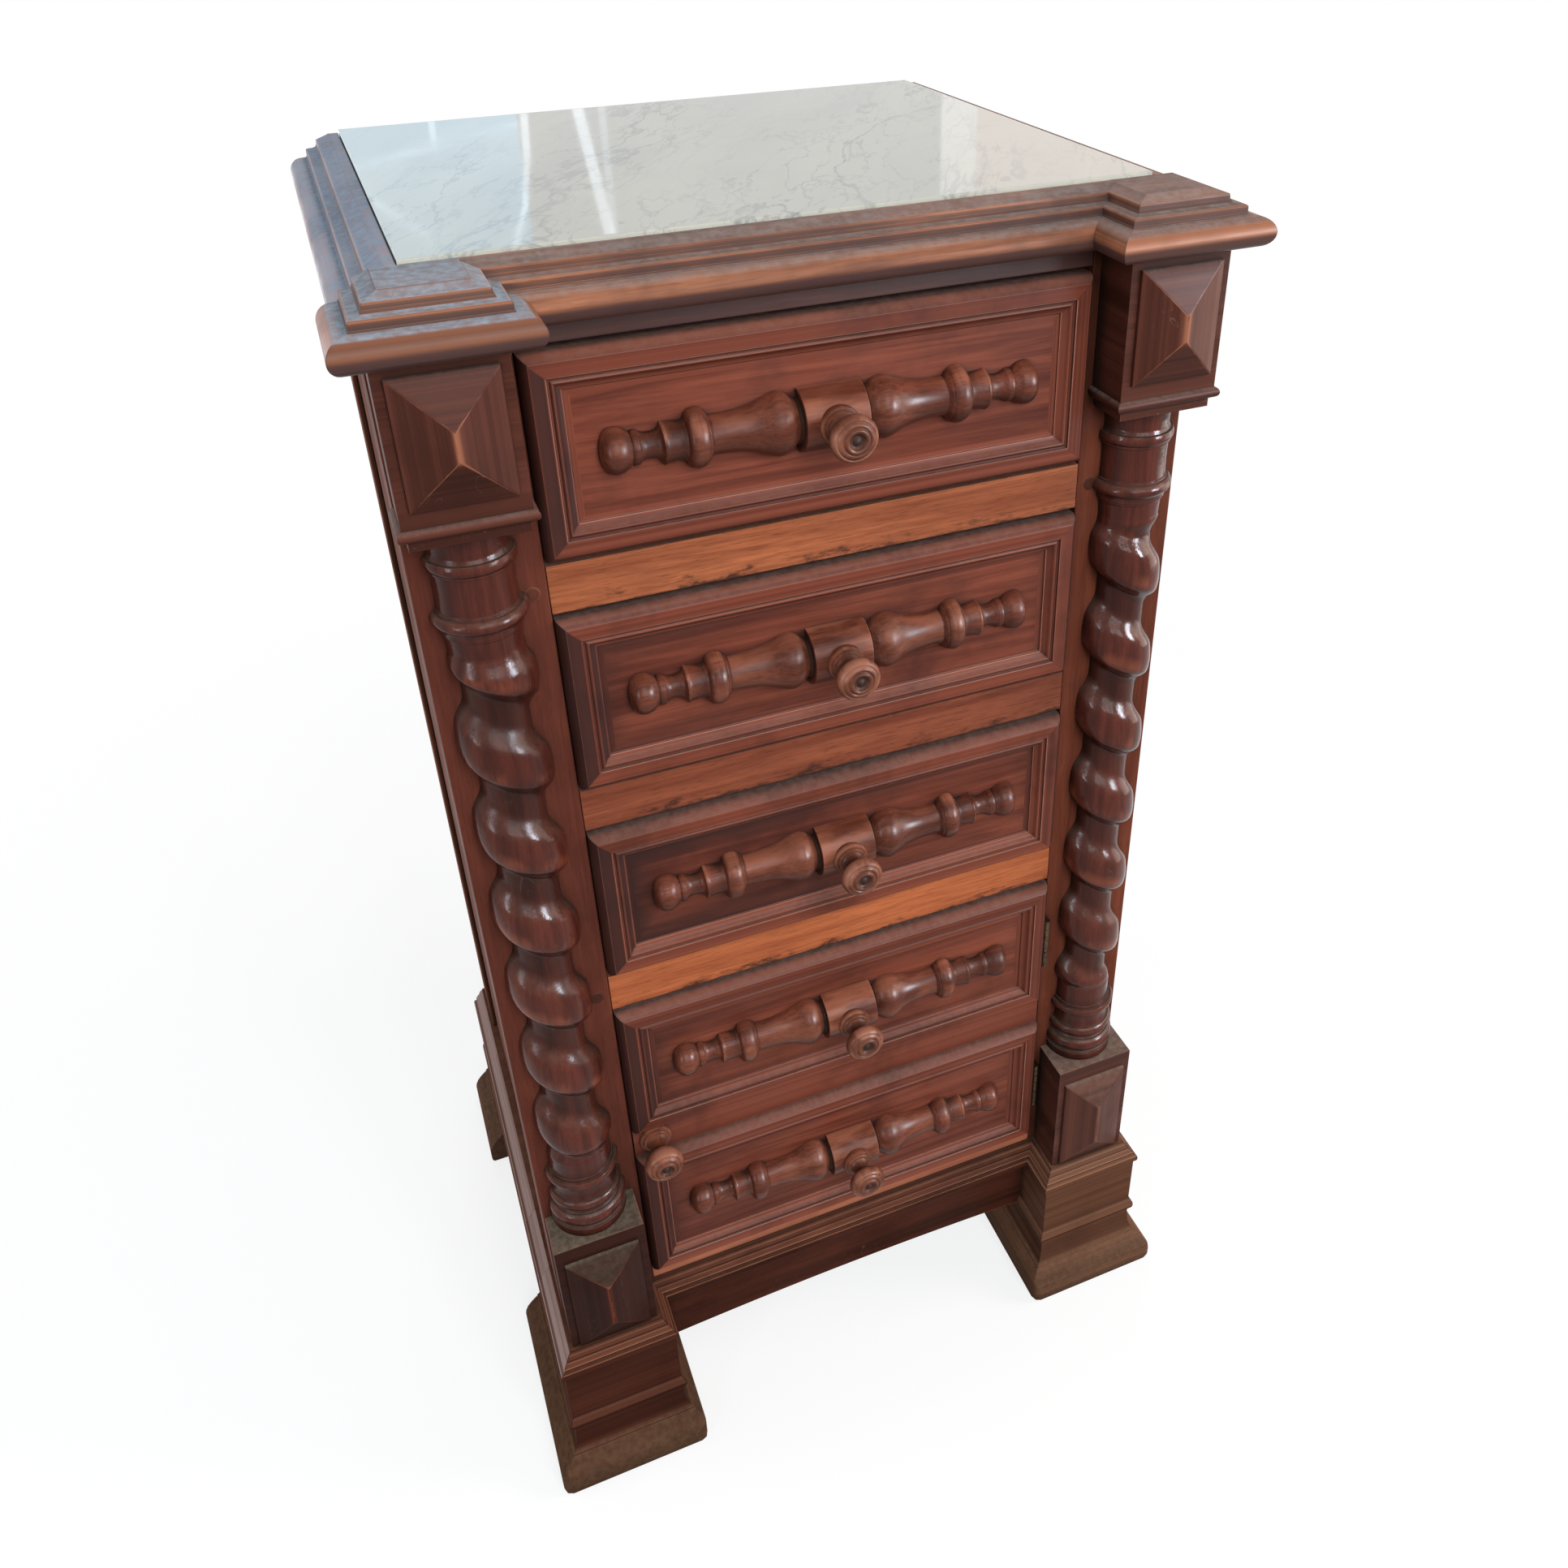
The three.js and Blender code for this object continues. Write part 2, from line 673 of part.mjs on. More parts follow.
// Each divider is a rail in front of a board that the drawer above it slides on
function addBoards() {
  piece("top_board", carcassBoard(openingTop, corniceBase), railWood());
  piece("floor_board", carcassBoard(BASE_HEIGHT, floorTop), walnut());
  const guideInner = openingHalf;
  const guideFront = POST_DEPTH + FIT;
  const guideBack = DEPTH - POST_DEPTH - FIT;
  for (let i = 1; i <= DRAWERS; i++) {
    const top = openingTop - i * tierPitch + RAIL_HEIGHT;
    const rail = box([FIT - openingHalf, openingHalf - FIT], [0, RAIL_DEPTH], [top - RAIL_HEIGHT, top]);
    const lapped = [top - BOARD_THICK, top + GUIDE_HEIGHT];
    const guide = box([guideInner, guideInner + GUIDE_WIDTH], [guideFront, guideBack], lapped);
    const board = carcassBoard(top - BOARD_THICK, top);
    piece("divider_" + i, join(board, rail, guide, mirrored(guide)), railWood());
  }
}

// Base: front feet, sides with their rear feet, and the apron between the front feet
function addBase() {
  const plan = { ...block, outer: halfWidth, innerReach: FOOT_INNER_REACH };
  const footPlan = { ...plan, back: FOOT_BACK };
  const returnPlan = {
    ...plan,
    inner: halfWidth - PLINTH_THICK,
    flatInside: true,
    flatFront: true,
    front: 0,
    back: FOOT_SIDE_BACK,
  };
  const foot = profiled(footProfile(), footPlan, 0);
  pair("foot_front", join(foot, profiled(footProfile(), returnPlan, 0)), darkWalnut);

  const rearFoot = { ...returnPlan, front: DEPTH - REAR_FOOT_DEPTH, back: DEPTH };
  const sideRun = { ...returnPlan, front: FOOT_SIDE_BACK + FIT, back: DEPTH };
  const sideBody = profiled(plinthProfile(), sideRun, 0);
  pair("plinth", join(sideBody, profiled(footProfile(), rearFoot, 0)), darkWalnut);

  const end = block.inner;
  const apronSection = (x) => {
    const arch = APRON_ARCH * (1 - (x / end) ** 2);
    return [
      [APRON_THICK, APRON_BOTTOM + arch],
      [-APRON_REACH, APRON_BOTTOM + arch],
      ...plinthProfile()
        .slice(-4)
        .map(([reach, up]) => [-reach, up]),
      [APRON_THICK, BASE_HEIGHT],
    ];
  };
  const rings = Array.from({ length: APRON_STEPS + 1 }, (_, i) => {
    const x = end * ((2 * i) / APRON_STEPS - 1);
    const section = apronSection(x);
    section.splice(2, 0, [-APRON_REACH, lipBottom]);
    return section.map(([y, z]) => [x, y, z]);
  });
  const room = profiled(footProfile(), footPlan, 0, FIT);
  piece("apron_front", cut(loft(rings), room, mirrored(room)), darkWalnut());
}

// A rectangle in a plane square to y, as a ring for a loft
function uprightRing([x0, x1], [z0, z1], inset, y) {
  return [
    [x0 + inset, y, z0 + inset],
    [x1 - inset, y, z0 + inset],
    [x1 - inset, y, z1 - inset],
    [x0 + inset, y, z1 - inset],
  ];
}

// A drawer front: bevelled edge, flat frame, small step, cove and sunk panel
function mouldedFront(width, height, back) {
  const frame = BEVEL_WIDTH + FRAME_FLAT;
  const stepPlane = FRAME_STEP - BEVEL_RISE;
  const ring = (inset, y) => uprightRing(width, height, inset, y);
  return loft([
    ring(0, back),
    ring(0, 0),
    ring(BEVEL_WIDTH, -BEVEL_RISE),
    ring(frame, -BEVEL_RISE),
    ring(frame, stepPlane),
    ring(frame + COVE_WIDTH / 2, stepPlane + COVE_DEPTH / 2 + COVE_SAG),
    ring(frame + COVE_WIDTH, panelPlane),
  ]);
}

// A knob on a flange, with a spigot behind; it points to -Y from the origin
function knob(length, seat, grow = 0) {
  const profile = [
    [0, seat + KNOB_SPIGOT_LENGTH + grow],
    [KNOB_SPIGOT + grow, seat + KNOB_SPIGOT_LENGTH + grow],
    [KNOB_SPIGOT + grow, seat + grow],
    [KNOB_FLANGE + grow, seat + grow],
    ...knobShares.map(([along, radius]) => [radius * KNOB_RADIUS + grow, -along * length]),
  ];
  const tip = -knobShares.at(-1)[0] * length;
  const points = [...profile, [0, tip]].map(([radius, along]) => new THREE.Vector2(radius, along));
  return turnFacesOut(mergedLathe(points));
}

function mergedLathe(points) {
  const lathe = new THREE.LatheGeometry(points, KNOB_SIDES);
  lathe.deleteAttribute("normal");
  lathe.deleteAttribute("uv");
  return mergeVertices(lathe, WELD);
}

// A half spindle across a front, bored for its knob
function spindle() {
  const half = spindleShares.map(([along, radius]) => [along * spindleHalf, radius]);
  const otherHalf = half.slice(1).map(([along, radius]) => [-along, radius]);
  const rings = [...otherHalf.reverse(), ...half].map(([along, radius]) =>
    halfRing(SPINDLE_SIDES, () => radius * SPINDLE_RADIUS).map(([z, y]) => [along, y, z]),
  );
  const room = knob(KNOB_LENGTH, KNOB_SEAT, FIT).translate(0, -SPINDLE_RADIUS, 0);
  return cut(loft(rings), room);
}

function addSpindle(name, z, parent) {
  const turned = piece("spindle_" + name, spindle(), walnut(), parent);
  turned.position.set(0, panelPlane, z);
  const pull = piece("knob_" + name, knob(KNOB_LENGTH, KNOB_SEAT), railWood(), parent);
  pull.position.set(0, panelPlane - SPINDLE_RADIUS, z);
}

// A drawer: front, two grooved sides, back and a bottom that runs under the back
function addDrawer(number) {
  const drawer = new THREE.Group();
  cabinet.add(drawer);
  const openingBase = openingTop - number * tierPitch + RAIL_HEIGHT;
  const name = "drawer_" + number;
  const frontHalf = openingHalf - FRONT_GAP;
  const frontBase = openingBase + FRONT_BOTTOM_GAP;
  const frontTop = openingBase + DRAWER_OPENING - FRONT_TOP_GAP;
  const front = mouldedFront([-frontHalf, frontHalf], [frontBase, frontTop], FRONT_THICK);
  piece(name + "_front", front, walnut(), drawer);

  const base = openingBase + FIT;
  const outer = openingHalf - DRAWER_CLEAR;
  const inner = outer - DRAWER_SIDE_THICK;
  const grooveBase = base + DRAWER_BOTTOM_LIFT;
  const grooveTop = grooveBase + DRAWER_BOTTOM_THICK + FIT;
  const back = FRONT_THICK + DRAWER_DEPTH;
  const sideOutline = [
    [base, inner],
    [grooveBase, inner],
    [grooveBase, inner + DRAWER_GROOVE],
    [grooveTop, inner + DRAWER_GROOVE],
    [grooveTop, inner],
    [base + drawerSideHeight, inner],
    [base + drawerSideHeight, outer],
    [base, outer],
  ];
  const side = prism(sideOutline, "y", FRONT_THICK, back);
  piece(name + "_side_right", side, boxWood(), drawer);
  piece(name + "_side_left", mirrored(side), boxWood(), drawer);
  const backBoard = box(
    [-inner, inner],
    [back - DRAWER_BACK_THICK, back],
    [grooveTop, base + drawerSideHeight],
  );
  piece(name + "_back", backBoard, boxWood(), drawer);
  const bottomHalf = inner + DRAWER_GROOVE - FIT;
  const bottom = box(
    [-bottomHalf, bottomHalf],
    [FRONT_THICK, back],
    [grooveBase, grooveBase + DRAWER_BOTTOM_THICK],
  );
  piece(name + "_bottom", bottom, boxWood(), drawer);
  addSpindle(name, (frontBase + frontTop) / 2, drawer);
}

// Door limits: the lowest drawer's rail above and the floor board below
function doorSpan() {
  const top = openingTop - DRAWERS * tierPitch - FRONT_TOP_GAP;
  return [floorTop + FRONT_BOTTOM_GAP, top];
}

function hingeHeights() {
  const [low, high] = doorSpan();
  return [low + HINGE_FROM_END + HINGE_LENGTH / 2, high - HINGE_FROM_END - HINGE_LENGTH / 2];
}

function addDoor() {
  const door = new THREE.Group();
  cabinet.add(door);
  const [low, high] = doorSpan();
  const half = openingHalf - FRONT_GAP;
  const lowerTop = low + (high - low - DOOR_BAND) * lowerFrontShare;
  const upperBase = lowerTop + DOOR_BAND;
  const lower = mouldedFront([-half, half], [low, lowerTop], FRONT_THICK);
  const upper = mouldedFront([-half, half], [upperBase, high], FRONT_THICK);
  const slab = box([-half, half], [0, FRONT_THICK], [low, high]);
  const pullX = -half + DOOR_PULL_IN;
  const pullZ = lowerTop + DOOR_BAND / 2;
  const pullRoom = knob(DOOR_PULL_LENGTH, 0, FIT).translate(pullX, 0, pullZ);
  const mortises = hingeHeights().map((z) =>
    box(
      [half - LEAF_THICK, half + LEAF_THICK],
      [-BEVEL_RISE, LEAF_DEPTH + FIT],
      [z - HINGE_LENGTH / 2 - FIT, z + HINGE_LENGTH / 2 + FIT],
    ),
  );
  const leaf = cut(join(slab, lower, upper), pullRoom, ...mortises);
  piece("door_leaf", leaf, walnut(), door);
  addSpindle("door_lower", (low + lowerTop) / 2, door);
  addSpindle("door_upper", (upperBase + high) / 2, door);
  const pull = piece("knob_door_pull", knob(DOOR_PULL_LENGTH, 0), railWood(), door);
  pull.position.set(pullX, 0, pullZ);
  hingeHeights().forEach((z, i) => addHinge(i === 0 ? "lower" : "upper", z, door));
}

function rod(radius, from, to) {
  const ring = (z) =>
    Array.from({ length: KNUCKLE_SIDES }, (_, i) => {
      const angle = (2 * Math.PI * i) / KNUCKLE_SIDES;
      return [radius * Math.cos(angle), radius * Math.sin(angle), z];
    });
  return loft([ring(from), ring(to)]);
}

// A butt hinge whose knuckle stands in the angle between the door's bevel and the post: the
// post's leaf carries the end knuckles and the pin, and the door's leaf the middle knuckle
function addHinge(name, z, door) {
  const end = HINGE_LENGTH / 2;
  const third = end / 3; // half of the middle knuckle
  const depth = [0, KNUCKLE_FORWARD + LEAF_DEPTH];
  const postLeaf = box([FIT / 2, FIT / 2 + LEAF_THICK], depth, [-end, end]);
  const postRoom = rod(KNUCKLE_RADIUS + FIT, -third - FIT, third + FIT);
  const ends = [rod(KNUCKLE_RADIUS, -end, -third - FIT), rod(KNUCKLE_RADIUS, third + FIT, end)];
  const fixed = join(cut(postLeaf, postRoom), ...ends, rod(PIN_RADIUS, -end, end));
  const fixedLeaf = piece("hinge_" + name + "_post_leaf", fixed, brass());
  fixedLeaf.position.set(openingHalf, -KNUCKLE_FORWARD, z);

  const doorSide = -FRONT_GAP;
  const doorLeaf = box([doorSide - LEAF_THICK + FIT, doorSide + FIT], depth, [-end, end]);
  const doorRoom = [
    rod(KNUCKLE_RADIUS + FIT, -end - FIT, -third + FIT),
    rod(KNUCKLE_RADIUS + FIT, third - FIT, end + FIT),
  ];
  const knuckle = rod(KNUCKLE_RADIUS, -third, third);
  const bore = rod(PIN_RADIUS + FIT, -end, end);
  const moving = cut(join(doorLeaf, knuckle), ...doorRoom, bore);
  const movingLeaf = piece("hinge_" + name + "_door_leaf", moving, brass(), door);
  movingLeaf.position.set(openingHalf, -KNUCKLE_FORWARD, z);
}

addTop();
addBlocks();
addColumns();
addPostsAndPanels();
addBoards();
addBase();
for (let number = 1; number <= DRAWERS; number++) addDrawer(number);
addDoor();

// The origin is under the middle of the whole, from the front of the feet to the back
cabinet.position.y = (BLOCK_REACH + FOOT_REACH - DEPTH) / 2;

const root = new THREE.Group();
root.add(cabinet);
export default root;
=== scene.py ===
import math
from functools import partial

import bmesh
import bpy
from mathutils import Matrix, Vector


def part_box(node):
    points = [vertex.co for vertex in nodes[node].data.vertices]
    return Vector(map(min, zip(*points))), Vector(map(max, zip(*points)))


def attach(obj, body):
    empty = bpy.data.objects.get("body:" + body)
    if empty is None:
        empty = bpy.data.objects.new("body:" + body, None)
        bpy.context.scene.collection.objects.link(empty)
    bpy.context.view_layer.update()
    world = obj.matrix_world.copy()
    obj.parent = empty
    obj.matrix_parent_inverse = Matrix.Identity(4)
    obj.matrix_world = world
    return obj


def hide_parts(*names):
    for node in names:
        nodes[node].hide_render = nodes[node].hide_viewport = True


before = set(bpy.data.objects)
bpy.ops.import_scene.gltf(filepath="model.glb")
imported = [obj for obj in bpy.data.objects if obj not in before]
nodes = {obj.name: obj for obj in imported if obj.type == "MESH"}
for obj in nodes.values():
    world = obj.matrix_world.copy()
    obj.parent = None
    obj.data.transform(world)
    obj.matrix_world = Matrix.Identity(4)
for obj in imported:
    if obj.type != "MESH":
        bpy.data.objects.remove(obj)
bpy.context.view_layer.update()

# Shapes are worked out in millimetres, with y = 0 on the front plane of the posts
MM = 0.001
FRONT_PLANE = -162.9  # y of that plane in the part's own frame
AT_BACK = Vector((0, 1, 0))
CARCASS = "carcass"
DOOR = "door"
DRAWERS = ("drawer_1", "drawer_2", "drawer_3")

# Mouldings
CREASE = 0.9  # distance from a mitre to the points beside it
MITRE_TONE = -0.75
EASE = 0.55  # rounding of a moulding's corners
EASE_STEPS = 3
CORNER_ROOM = 0.45  # share of each side that a rounding may take
END_TONE = 0.45  # tone at the ends of a rounding, as a share of its middle's
TONE_SPREAD = 0.8  # how far the tone of a corner reaches beyond its rounding
SHARP_TURN = math.radians(24)
FULL_TURN = math.radians(80)  # a corner that turns this far has the full tone

# Shifts of the grain, so that no two sides of a piece and no mirrored pieces show the same
SIDE_SHIFT = 41.0
MIRROR_SHIFT = (377.0, 59.0)


def limits(node):
    """Lowest and highest corner of a CAD node, in millimetres from the front plane."""
    low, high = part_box(node)
    shift = Vector((0, FRONT_PLANE, 0))
    return low / MM - shift, high / MM - shift


def lerp(a, b, share):
    return a + (b - a) * share


def evenly(start, end, pieces):
    return [lerp(start, end, i / pieces) for i in range(pieces + 1)]


def clamp(value, low=0.0, high=1.0):
    return min(high, max(low, value))


def softened(share):
    return share * share * (3 - 2 * share)


# Outlines: points (reach, along) from one end to the other with the outside on the right


def eased(outline, radius=EASE, spread=TONE_SPREAD):
    """The outline with its corners rounded, as (reach, along, tone).
    The tone is above 0 on a worn arris and below 0 in a hollow."""
    points = [Vector(p) for p in outline]
    made = [(*points[0], 0.0)]
    for before, point, after in zip(points, points[1:], points[2:]):
        back, ahead = before - point, after - point
        room_back, room_ahead = CORNER_ROOM * back.length, CORNER_ROOM * ahead.length
        back.normalize()
        ahead.normalize()
        turn = math.atan2(ahead.cross(back), -ahead.dot(back))
        if abs(turn) < SHARP_TURN:
            made.append((*point, 0.0))
            continue
        reach = min(radius * math.tan(abs(turn) / 2), room_back, room_ahead)
        tone = clamp(turn / FULL_TURN, -1.0)
        if reach + spread < room_back:
            made.append((*(point + back * (reach + spread)), 0.0))
        for t in evenly(0, 1, EASE_STEPS):
            place = lerp(point + back * reach, point, t)
            place = lerp(place, lerp(point, point + ahead * reach, t), t)
            made.append((*place, tone * lerp(END_TONE, 1.0, math.sin(math.pi * t))))
        if reach + spread < room_ahead:
            made.append((*(point + ahead * (reach + spread)), 0.0))
    made.append((*points[-1], 0.0))
    return made


def curve(points, steps):
    """A smooth line through the points."""
    row = [Vector(p) for p in points]
    made = []
    for i in range(len(row) - 1):
        p0, p1 = row[max(i - 1, 0)], row[i]
        p2, p3 = row[i + 1], row[min(i + 2, len(row) - 1)]
        for k in range(steps):
            t = k / steps
            made.append(tuple(
                0.5 * ((2 * p1) + (p2 - p0) * t + (2 * p0 - 5 * p1 + 4 * p2 - p3) * t * t
                       + (3 * p1 - p0 - 3 * p2 + p3) * t ** 3)
            ))
    return made + [tuple(row[-1])]


def arc(reach, along, width, height, start, end, steps):
    """Points of an ellipse's arc about (reach, along), angles in degrees."""
    angles = evenly(math.radians(start), math.radians(end), steps)
    return [(reach + width * math.cos(a), along + height * math.sin(a)) for a in angles]


def travelled(points):
    """Distance along a row of points to each of them."""
    made = [0.0]
    for a, b in zip(points, points[1:]):
        made.append(made[-1] + (Vector(a) - Vector(b)).length)
    return made


class Part:
    """Points, faces, grain coordinates and tones of one closed body."""

    def __init__(self):
        self.points, self.tones, self.faces, self.grain = [], [], [], []

    def skin(self, rings, tones, grain, end_grain):
        """Skins a row of rings. grain says where a ring's point is on the skin that begins at
        ring i and edge j, and end_grain where it is on an end face."""
        size = len(rings[0])
        for ring, shades in zip(rings, tones):
            self.points += [tuple(p) for p in ring]
            self.tones += shades
        for i in range(len(rings) - 1):
            for j in range(size):
                k = (j + 1) % size
                corners = [(i, j), (i, k), (i + 1, k), (i + 1, j)]
                self.faces.append([r * size + c for r, c in corners])
                self.grain.append([grain(i, j, r, c) for r, c in corners])
        for r in (0, len(rings) - 1):
            self.faces.append([r * size + c for c in range(size)])
            self.grain.append([end_grain(r, c) for c in range(size)])
        return self


def loft(rings, tones, sides, cap=(0, 1), field=0):
    """A body from a row of rings. sides holds (axis along the grain, offset) of each ring edge.
    The last field steps belong to the end face, and their grain runs as its grain does."""
    travel = travelled([ring[0] for ring in rings])
    u, v = cap

    def end_grain(r, c):
        return rings[r][c][u], rings[r][c][v] + (travel[-1] if r else 0.0)

    def grain(i, j, r, c):
        if i >= len(rings) - 1 - field:
            return end_grain(r, c)
        axis, offset = sides[j]
        return rings[r][c][axis] + offset, travel[r] + offset

    return Part().skin(rings, tones, grain, end_grain)


RING_POINTS = 12  # of a rectangle's ring, three at each corner


def rectangle(a0, a1, b0, b1, place, crease=CREASE, rounding=0.0):
    """The ring of points round a rectangle. The corners at b0 can be rounded."""
    corners = [(a0, b0), (a1, b0), (a1, b1), (a0, b1)]
    steps = [(0, 1), (1, 0)], [(-1, 0), (0, 1)], [(0, -1), (-1, 0)], [(1, 0), (0, -1)]
    points = []
    for (a, b), (before, after) in zip(corners, steps):
        radius = rounding if b == b0 else 0.0
        reach = max(crease, radius)
        cut = (1 - math.sqrt(0.5)) * radius
        points.append(place(a + before[0] * reach, b + before[1] * reach))
        points.append(place(a + (before[0] + after[0]) * cut, b + (before[1] + after[1]) * cut))
        points.append(place(a + after[0] * reach, b + after[1] * reach))
    return points


def rectangle_sides(axis_a, axis_b):
    """Grain axis and offset of each edge of a rectangle's ring."""
    sides = []
    for j in range(RING_POINTS):
        side = ((j + RING_POINTS - 1) // 3 + 1) % 4
        sides.append((axis_a if side % 2 == 0 else axis_b, SIDE_SHIFT * side))
    return sides


def corner_tones(tone, mitre):
    """A ring's tones: the mitre's own on the corner points, where it is stronger."""
    at_mitre = mitre if abs(mitre) > abs(tone) else tone
    return [tone, at_mitre, tone] * 4


def stack(profile, plan, base, mitre=MITRE_TONE):
    """A stack of rectangles that follows a profile round the inner, front and outer faces."""
    limit = plan.get("inner_limit", math.inf)
    rings, tones = [], []
    for reach, up, tone in profile:
        x0 = plan["inner"] - (0 if plan.get("flat_inside") else min(reach, limit))
        x1 = plan["outer"] + reach
        y0 = plan["front"] - (0 if plan.get("flat_front") else reach)
        rounding = plan["rounding"](up) if "rounding" in plan else 0.0
        rings.append(rectangle(x0, x1, y0, plan["back"], lambda a, b, z=base + up: (a, b, z),
                               rounding=rounding))
        tones.append(corner_tones(tone, 0.0 if rounding > CREASE else mitre))
    return loft(rings, tones, rectangle_sides(0, 1))


def run(sections, axis, place, end_grain=None):
    """A moulding along x or y. Its sections are pairs of a distance and its (reach, up, tone) points,
    and place turns (reach, up, distance) into a point. end_grain is for end faces of their own kind."""
    rings = [[place(reach, up, distance) for reach, up, _ in section] for distance, section in sections]
    tones = [[tone for _, _, tone in section] for _, section in sections]
    first = sections[0][1]
    travel = travelled([(reach, up) for reach, up, _ in first])
    return Part().skin(rings, tones, lambda i, j, r, c: (rings[r][c][axis], travel[c]),
                       end_grain or (lambda r, c: (first[c][0], travel[c])))


def mirrored(part):
    made = Part()
    made.points = [(-x, y, z) for x, y, z in part.points]
    made.tones = list(part.tones)
    made.faces = [list(reversed(f)) for f in part.faces]
    shift_u, shift_v = MIRROR_SHIFT
    made.grain = [[(u + shift_u, v + shift_v) for u, v in reversed(g)] for g in part.grain]
    return made


def add_object(name, data):
    made = bpy.data.objects.new(name, data)
    bpy.context.scene.collection.objects.link(made)
    return made


def add_piece(name, body, replaced, material, parts, arris=0.0, angle=50, smooth=32):
    """One visible piece from closed parts. It rides on its body and stands for CAD nodes.
    arris is the rounding of edges sharper than angle, and edges sharper than smooth stay crisp."""
    points, tones, faces, grain = [], [], [], []
    for part in parts:
        start = len(points)
        points += part.points
        tones += part.tones
        faces += [[i + start for i in face] for face in part.faces]
        grain += part.grain
    mesh = bpy.data.meshes.new(name)
    mesh.from_pydata([(x * MM, (y + FRONT_PLANE) * MM, z * MM) for x, y, z in points], [], faces)
    layer = mesh.uv_layers.new(name="grain")
    layer.data.foreach_set("uv", [c * MM for face in grain for corner in face for c in corner])
    mesh.attributes.new("tone", "FLOAT", "POINT").data.foreach_set("value", tones)
    made = add_object(name, mesh)
    work = bmesh.new()
    work.from_mesh(mesh)
    bmesh.ops.recalc_face_normals(work, faces=work.faces)
    work.to_mesh(mesh)
    work.free()
    mesh.shade_smooth()
    mesh.set_sharp_from_angle(angle=math.radians(smooth))
    mesh.materials.append(material)
    if arris:
        add_arris(made, arris, angle)
    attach(made, body)
    if replaced:
        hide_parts(*replaced)


def add_arris(thing, width, angle):
    """Rounds the sharp edges a little."""
    bevel = thing.modifiers.new("arris", "BEVEL")
    bevel.width = width * MM
    bevel.segments = 2
    bevel.limit_method = "ANGLE"
    bevel.angle_limit = math.radians(angle)


# Materials


def connect(tree, target, inputs):
    """Links or sets the inputs of a node."""
    for name, value in inputs.items():
        socket = target.inputs[name]
        if isinstance(value, bpy.types.NodeSocket):
            tree.links.new(value, socket)
        else:
            socket.default_value = value


def add_node(tree, kind, inputs=None, **settings):
    made = tree.nodes.new("ShaderNode" + kind)
    for name, value in settings.items():
        setattr(made, name, value)
    connect(tree, made, inputs or {})
    return made


def derived(kind, inputs, output=0, **settings):
    """The output of a new node, in the tree that its inputs come from."""
    tree = next(value.id_data for value in inputs.values() if isinstance(value, bpy.types.NodeSocket))
    return add_node(tree, kind, inputs, **settings).outputs[output]


def new_material(name):
    material = bpy.data.materials.new(name)
    material.use_nodes = True
    return material, material.node_tree


def finish_material(tree, colour, roughness, bump, other, value):
    inputs = {"Base Color": colour, "Roughness": roughness, "Normal": bump, other: value}
    connect(tree, tree.nodes["Principled BSDF"], inputs)


def rgba(colour):
    return (*colour, 1.0)


def darker(colour, share):
    return tuple(share * c for c in colour)


def mix(factor, a, b):
    values = {0: factor, 6: a, 7: b}
    values = {k: rgba(v) if isinstance(v, tuple) else v for k, v in values.items()}
    return derived("Mix", values, 2, data_type="RGBA")


def calc(operation, *values, clamped=False):
    return derived("Math", dict(enumerate(values)), operation=operation, use_clamp=clamped)


times, plus, minus = partial(calc, "MULTIPLY"), partial(calc, "ADD"), partial(calc, "SUBTRACT")


def off_middle(value):
    """How far a noise is from its middle value."""
    return calc("ABSOLUTE", minus(value, 0.5))


def ramp(value, low, high, to_low=0.0, to_high=1.0):
    inputs = {"Value": value, "From Min": low, "From Max": high, "To Min": to_low, "To Max": to_high}
    return derived("MapRange", inputs, interpolation_type="SMOOTHSTEP")


def noise_of(vector, scale, detail, roughness, distortion=0.0):
    inputs = {"Vector": vector, "Scale": scale, "Detail": detail, "Roughness": roughness,
              "Distortion": distortion}
    return derived("TexNoise", inputs)


def scaled(vector, scale, offset=(0.0, 0.0, 0.0)):
    return derived("Mapping", {"Vector": vector, "Scale": scale, "Location": offset})


def bumped(height, strength, distance, **others):
    return derived("Bump", {"Height": height, "Strength": strength, "Distance": distance, **others})


GRAIN_STRETCH = 0.055  # width of a fibre as a share of its length
WEAR_STRETCH = 0.3  # the same for a blotch of wear
# Painted light: left faces near the top of the base are paler in stripes, as lit by a window at the left
WINDOW_LIGHT_COLOUR = (0.4, 0.29, 0.27)
WINDOW_LIGHT_ABOVE = (0.128, 0.138)  # heights between which the painted window light begins
DUST_HEIGHTS = (0.07, 0.03)  # heights between which dust has settled, down to the floor
TOE_DUST_HEIGHTS = (0.038, 0.025)

# Noise in wood: scale, detail, roughness, distortion
FIGURE = (85.0, 4.0, 0.6, 0.8)
BROAD_FIGURE = (22.0, 3.0, 0.5, 1.4)
FINE_FIBRE = (620.0, 3.0, 0.65)
PORES = (1500.0, 1.0, 0.5)
PATCHES = (11.0, 4.0, 0.6)
SPECKS = (190.0, 2.0, 0.6)
EDGE_BLOTS = (110.0, 5.0, 0.7)
BLOTCHES = (38.0, 4.0, 0.65)
SCRATCHES = (42.0, 2.0, 0.5, 1.6)
RIPPLES = (230.0, 3.0, 0.6)


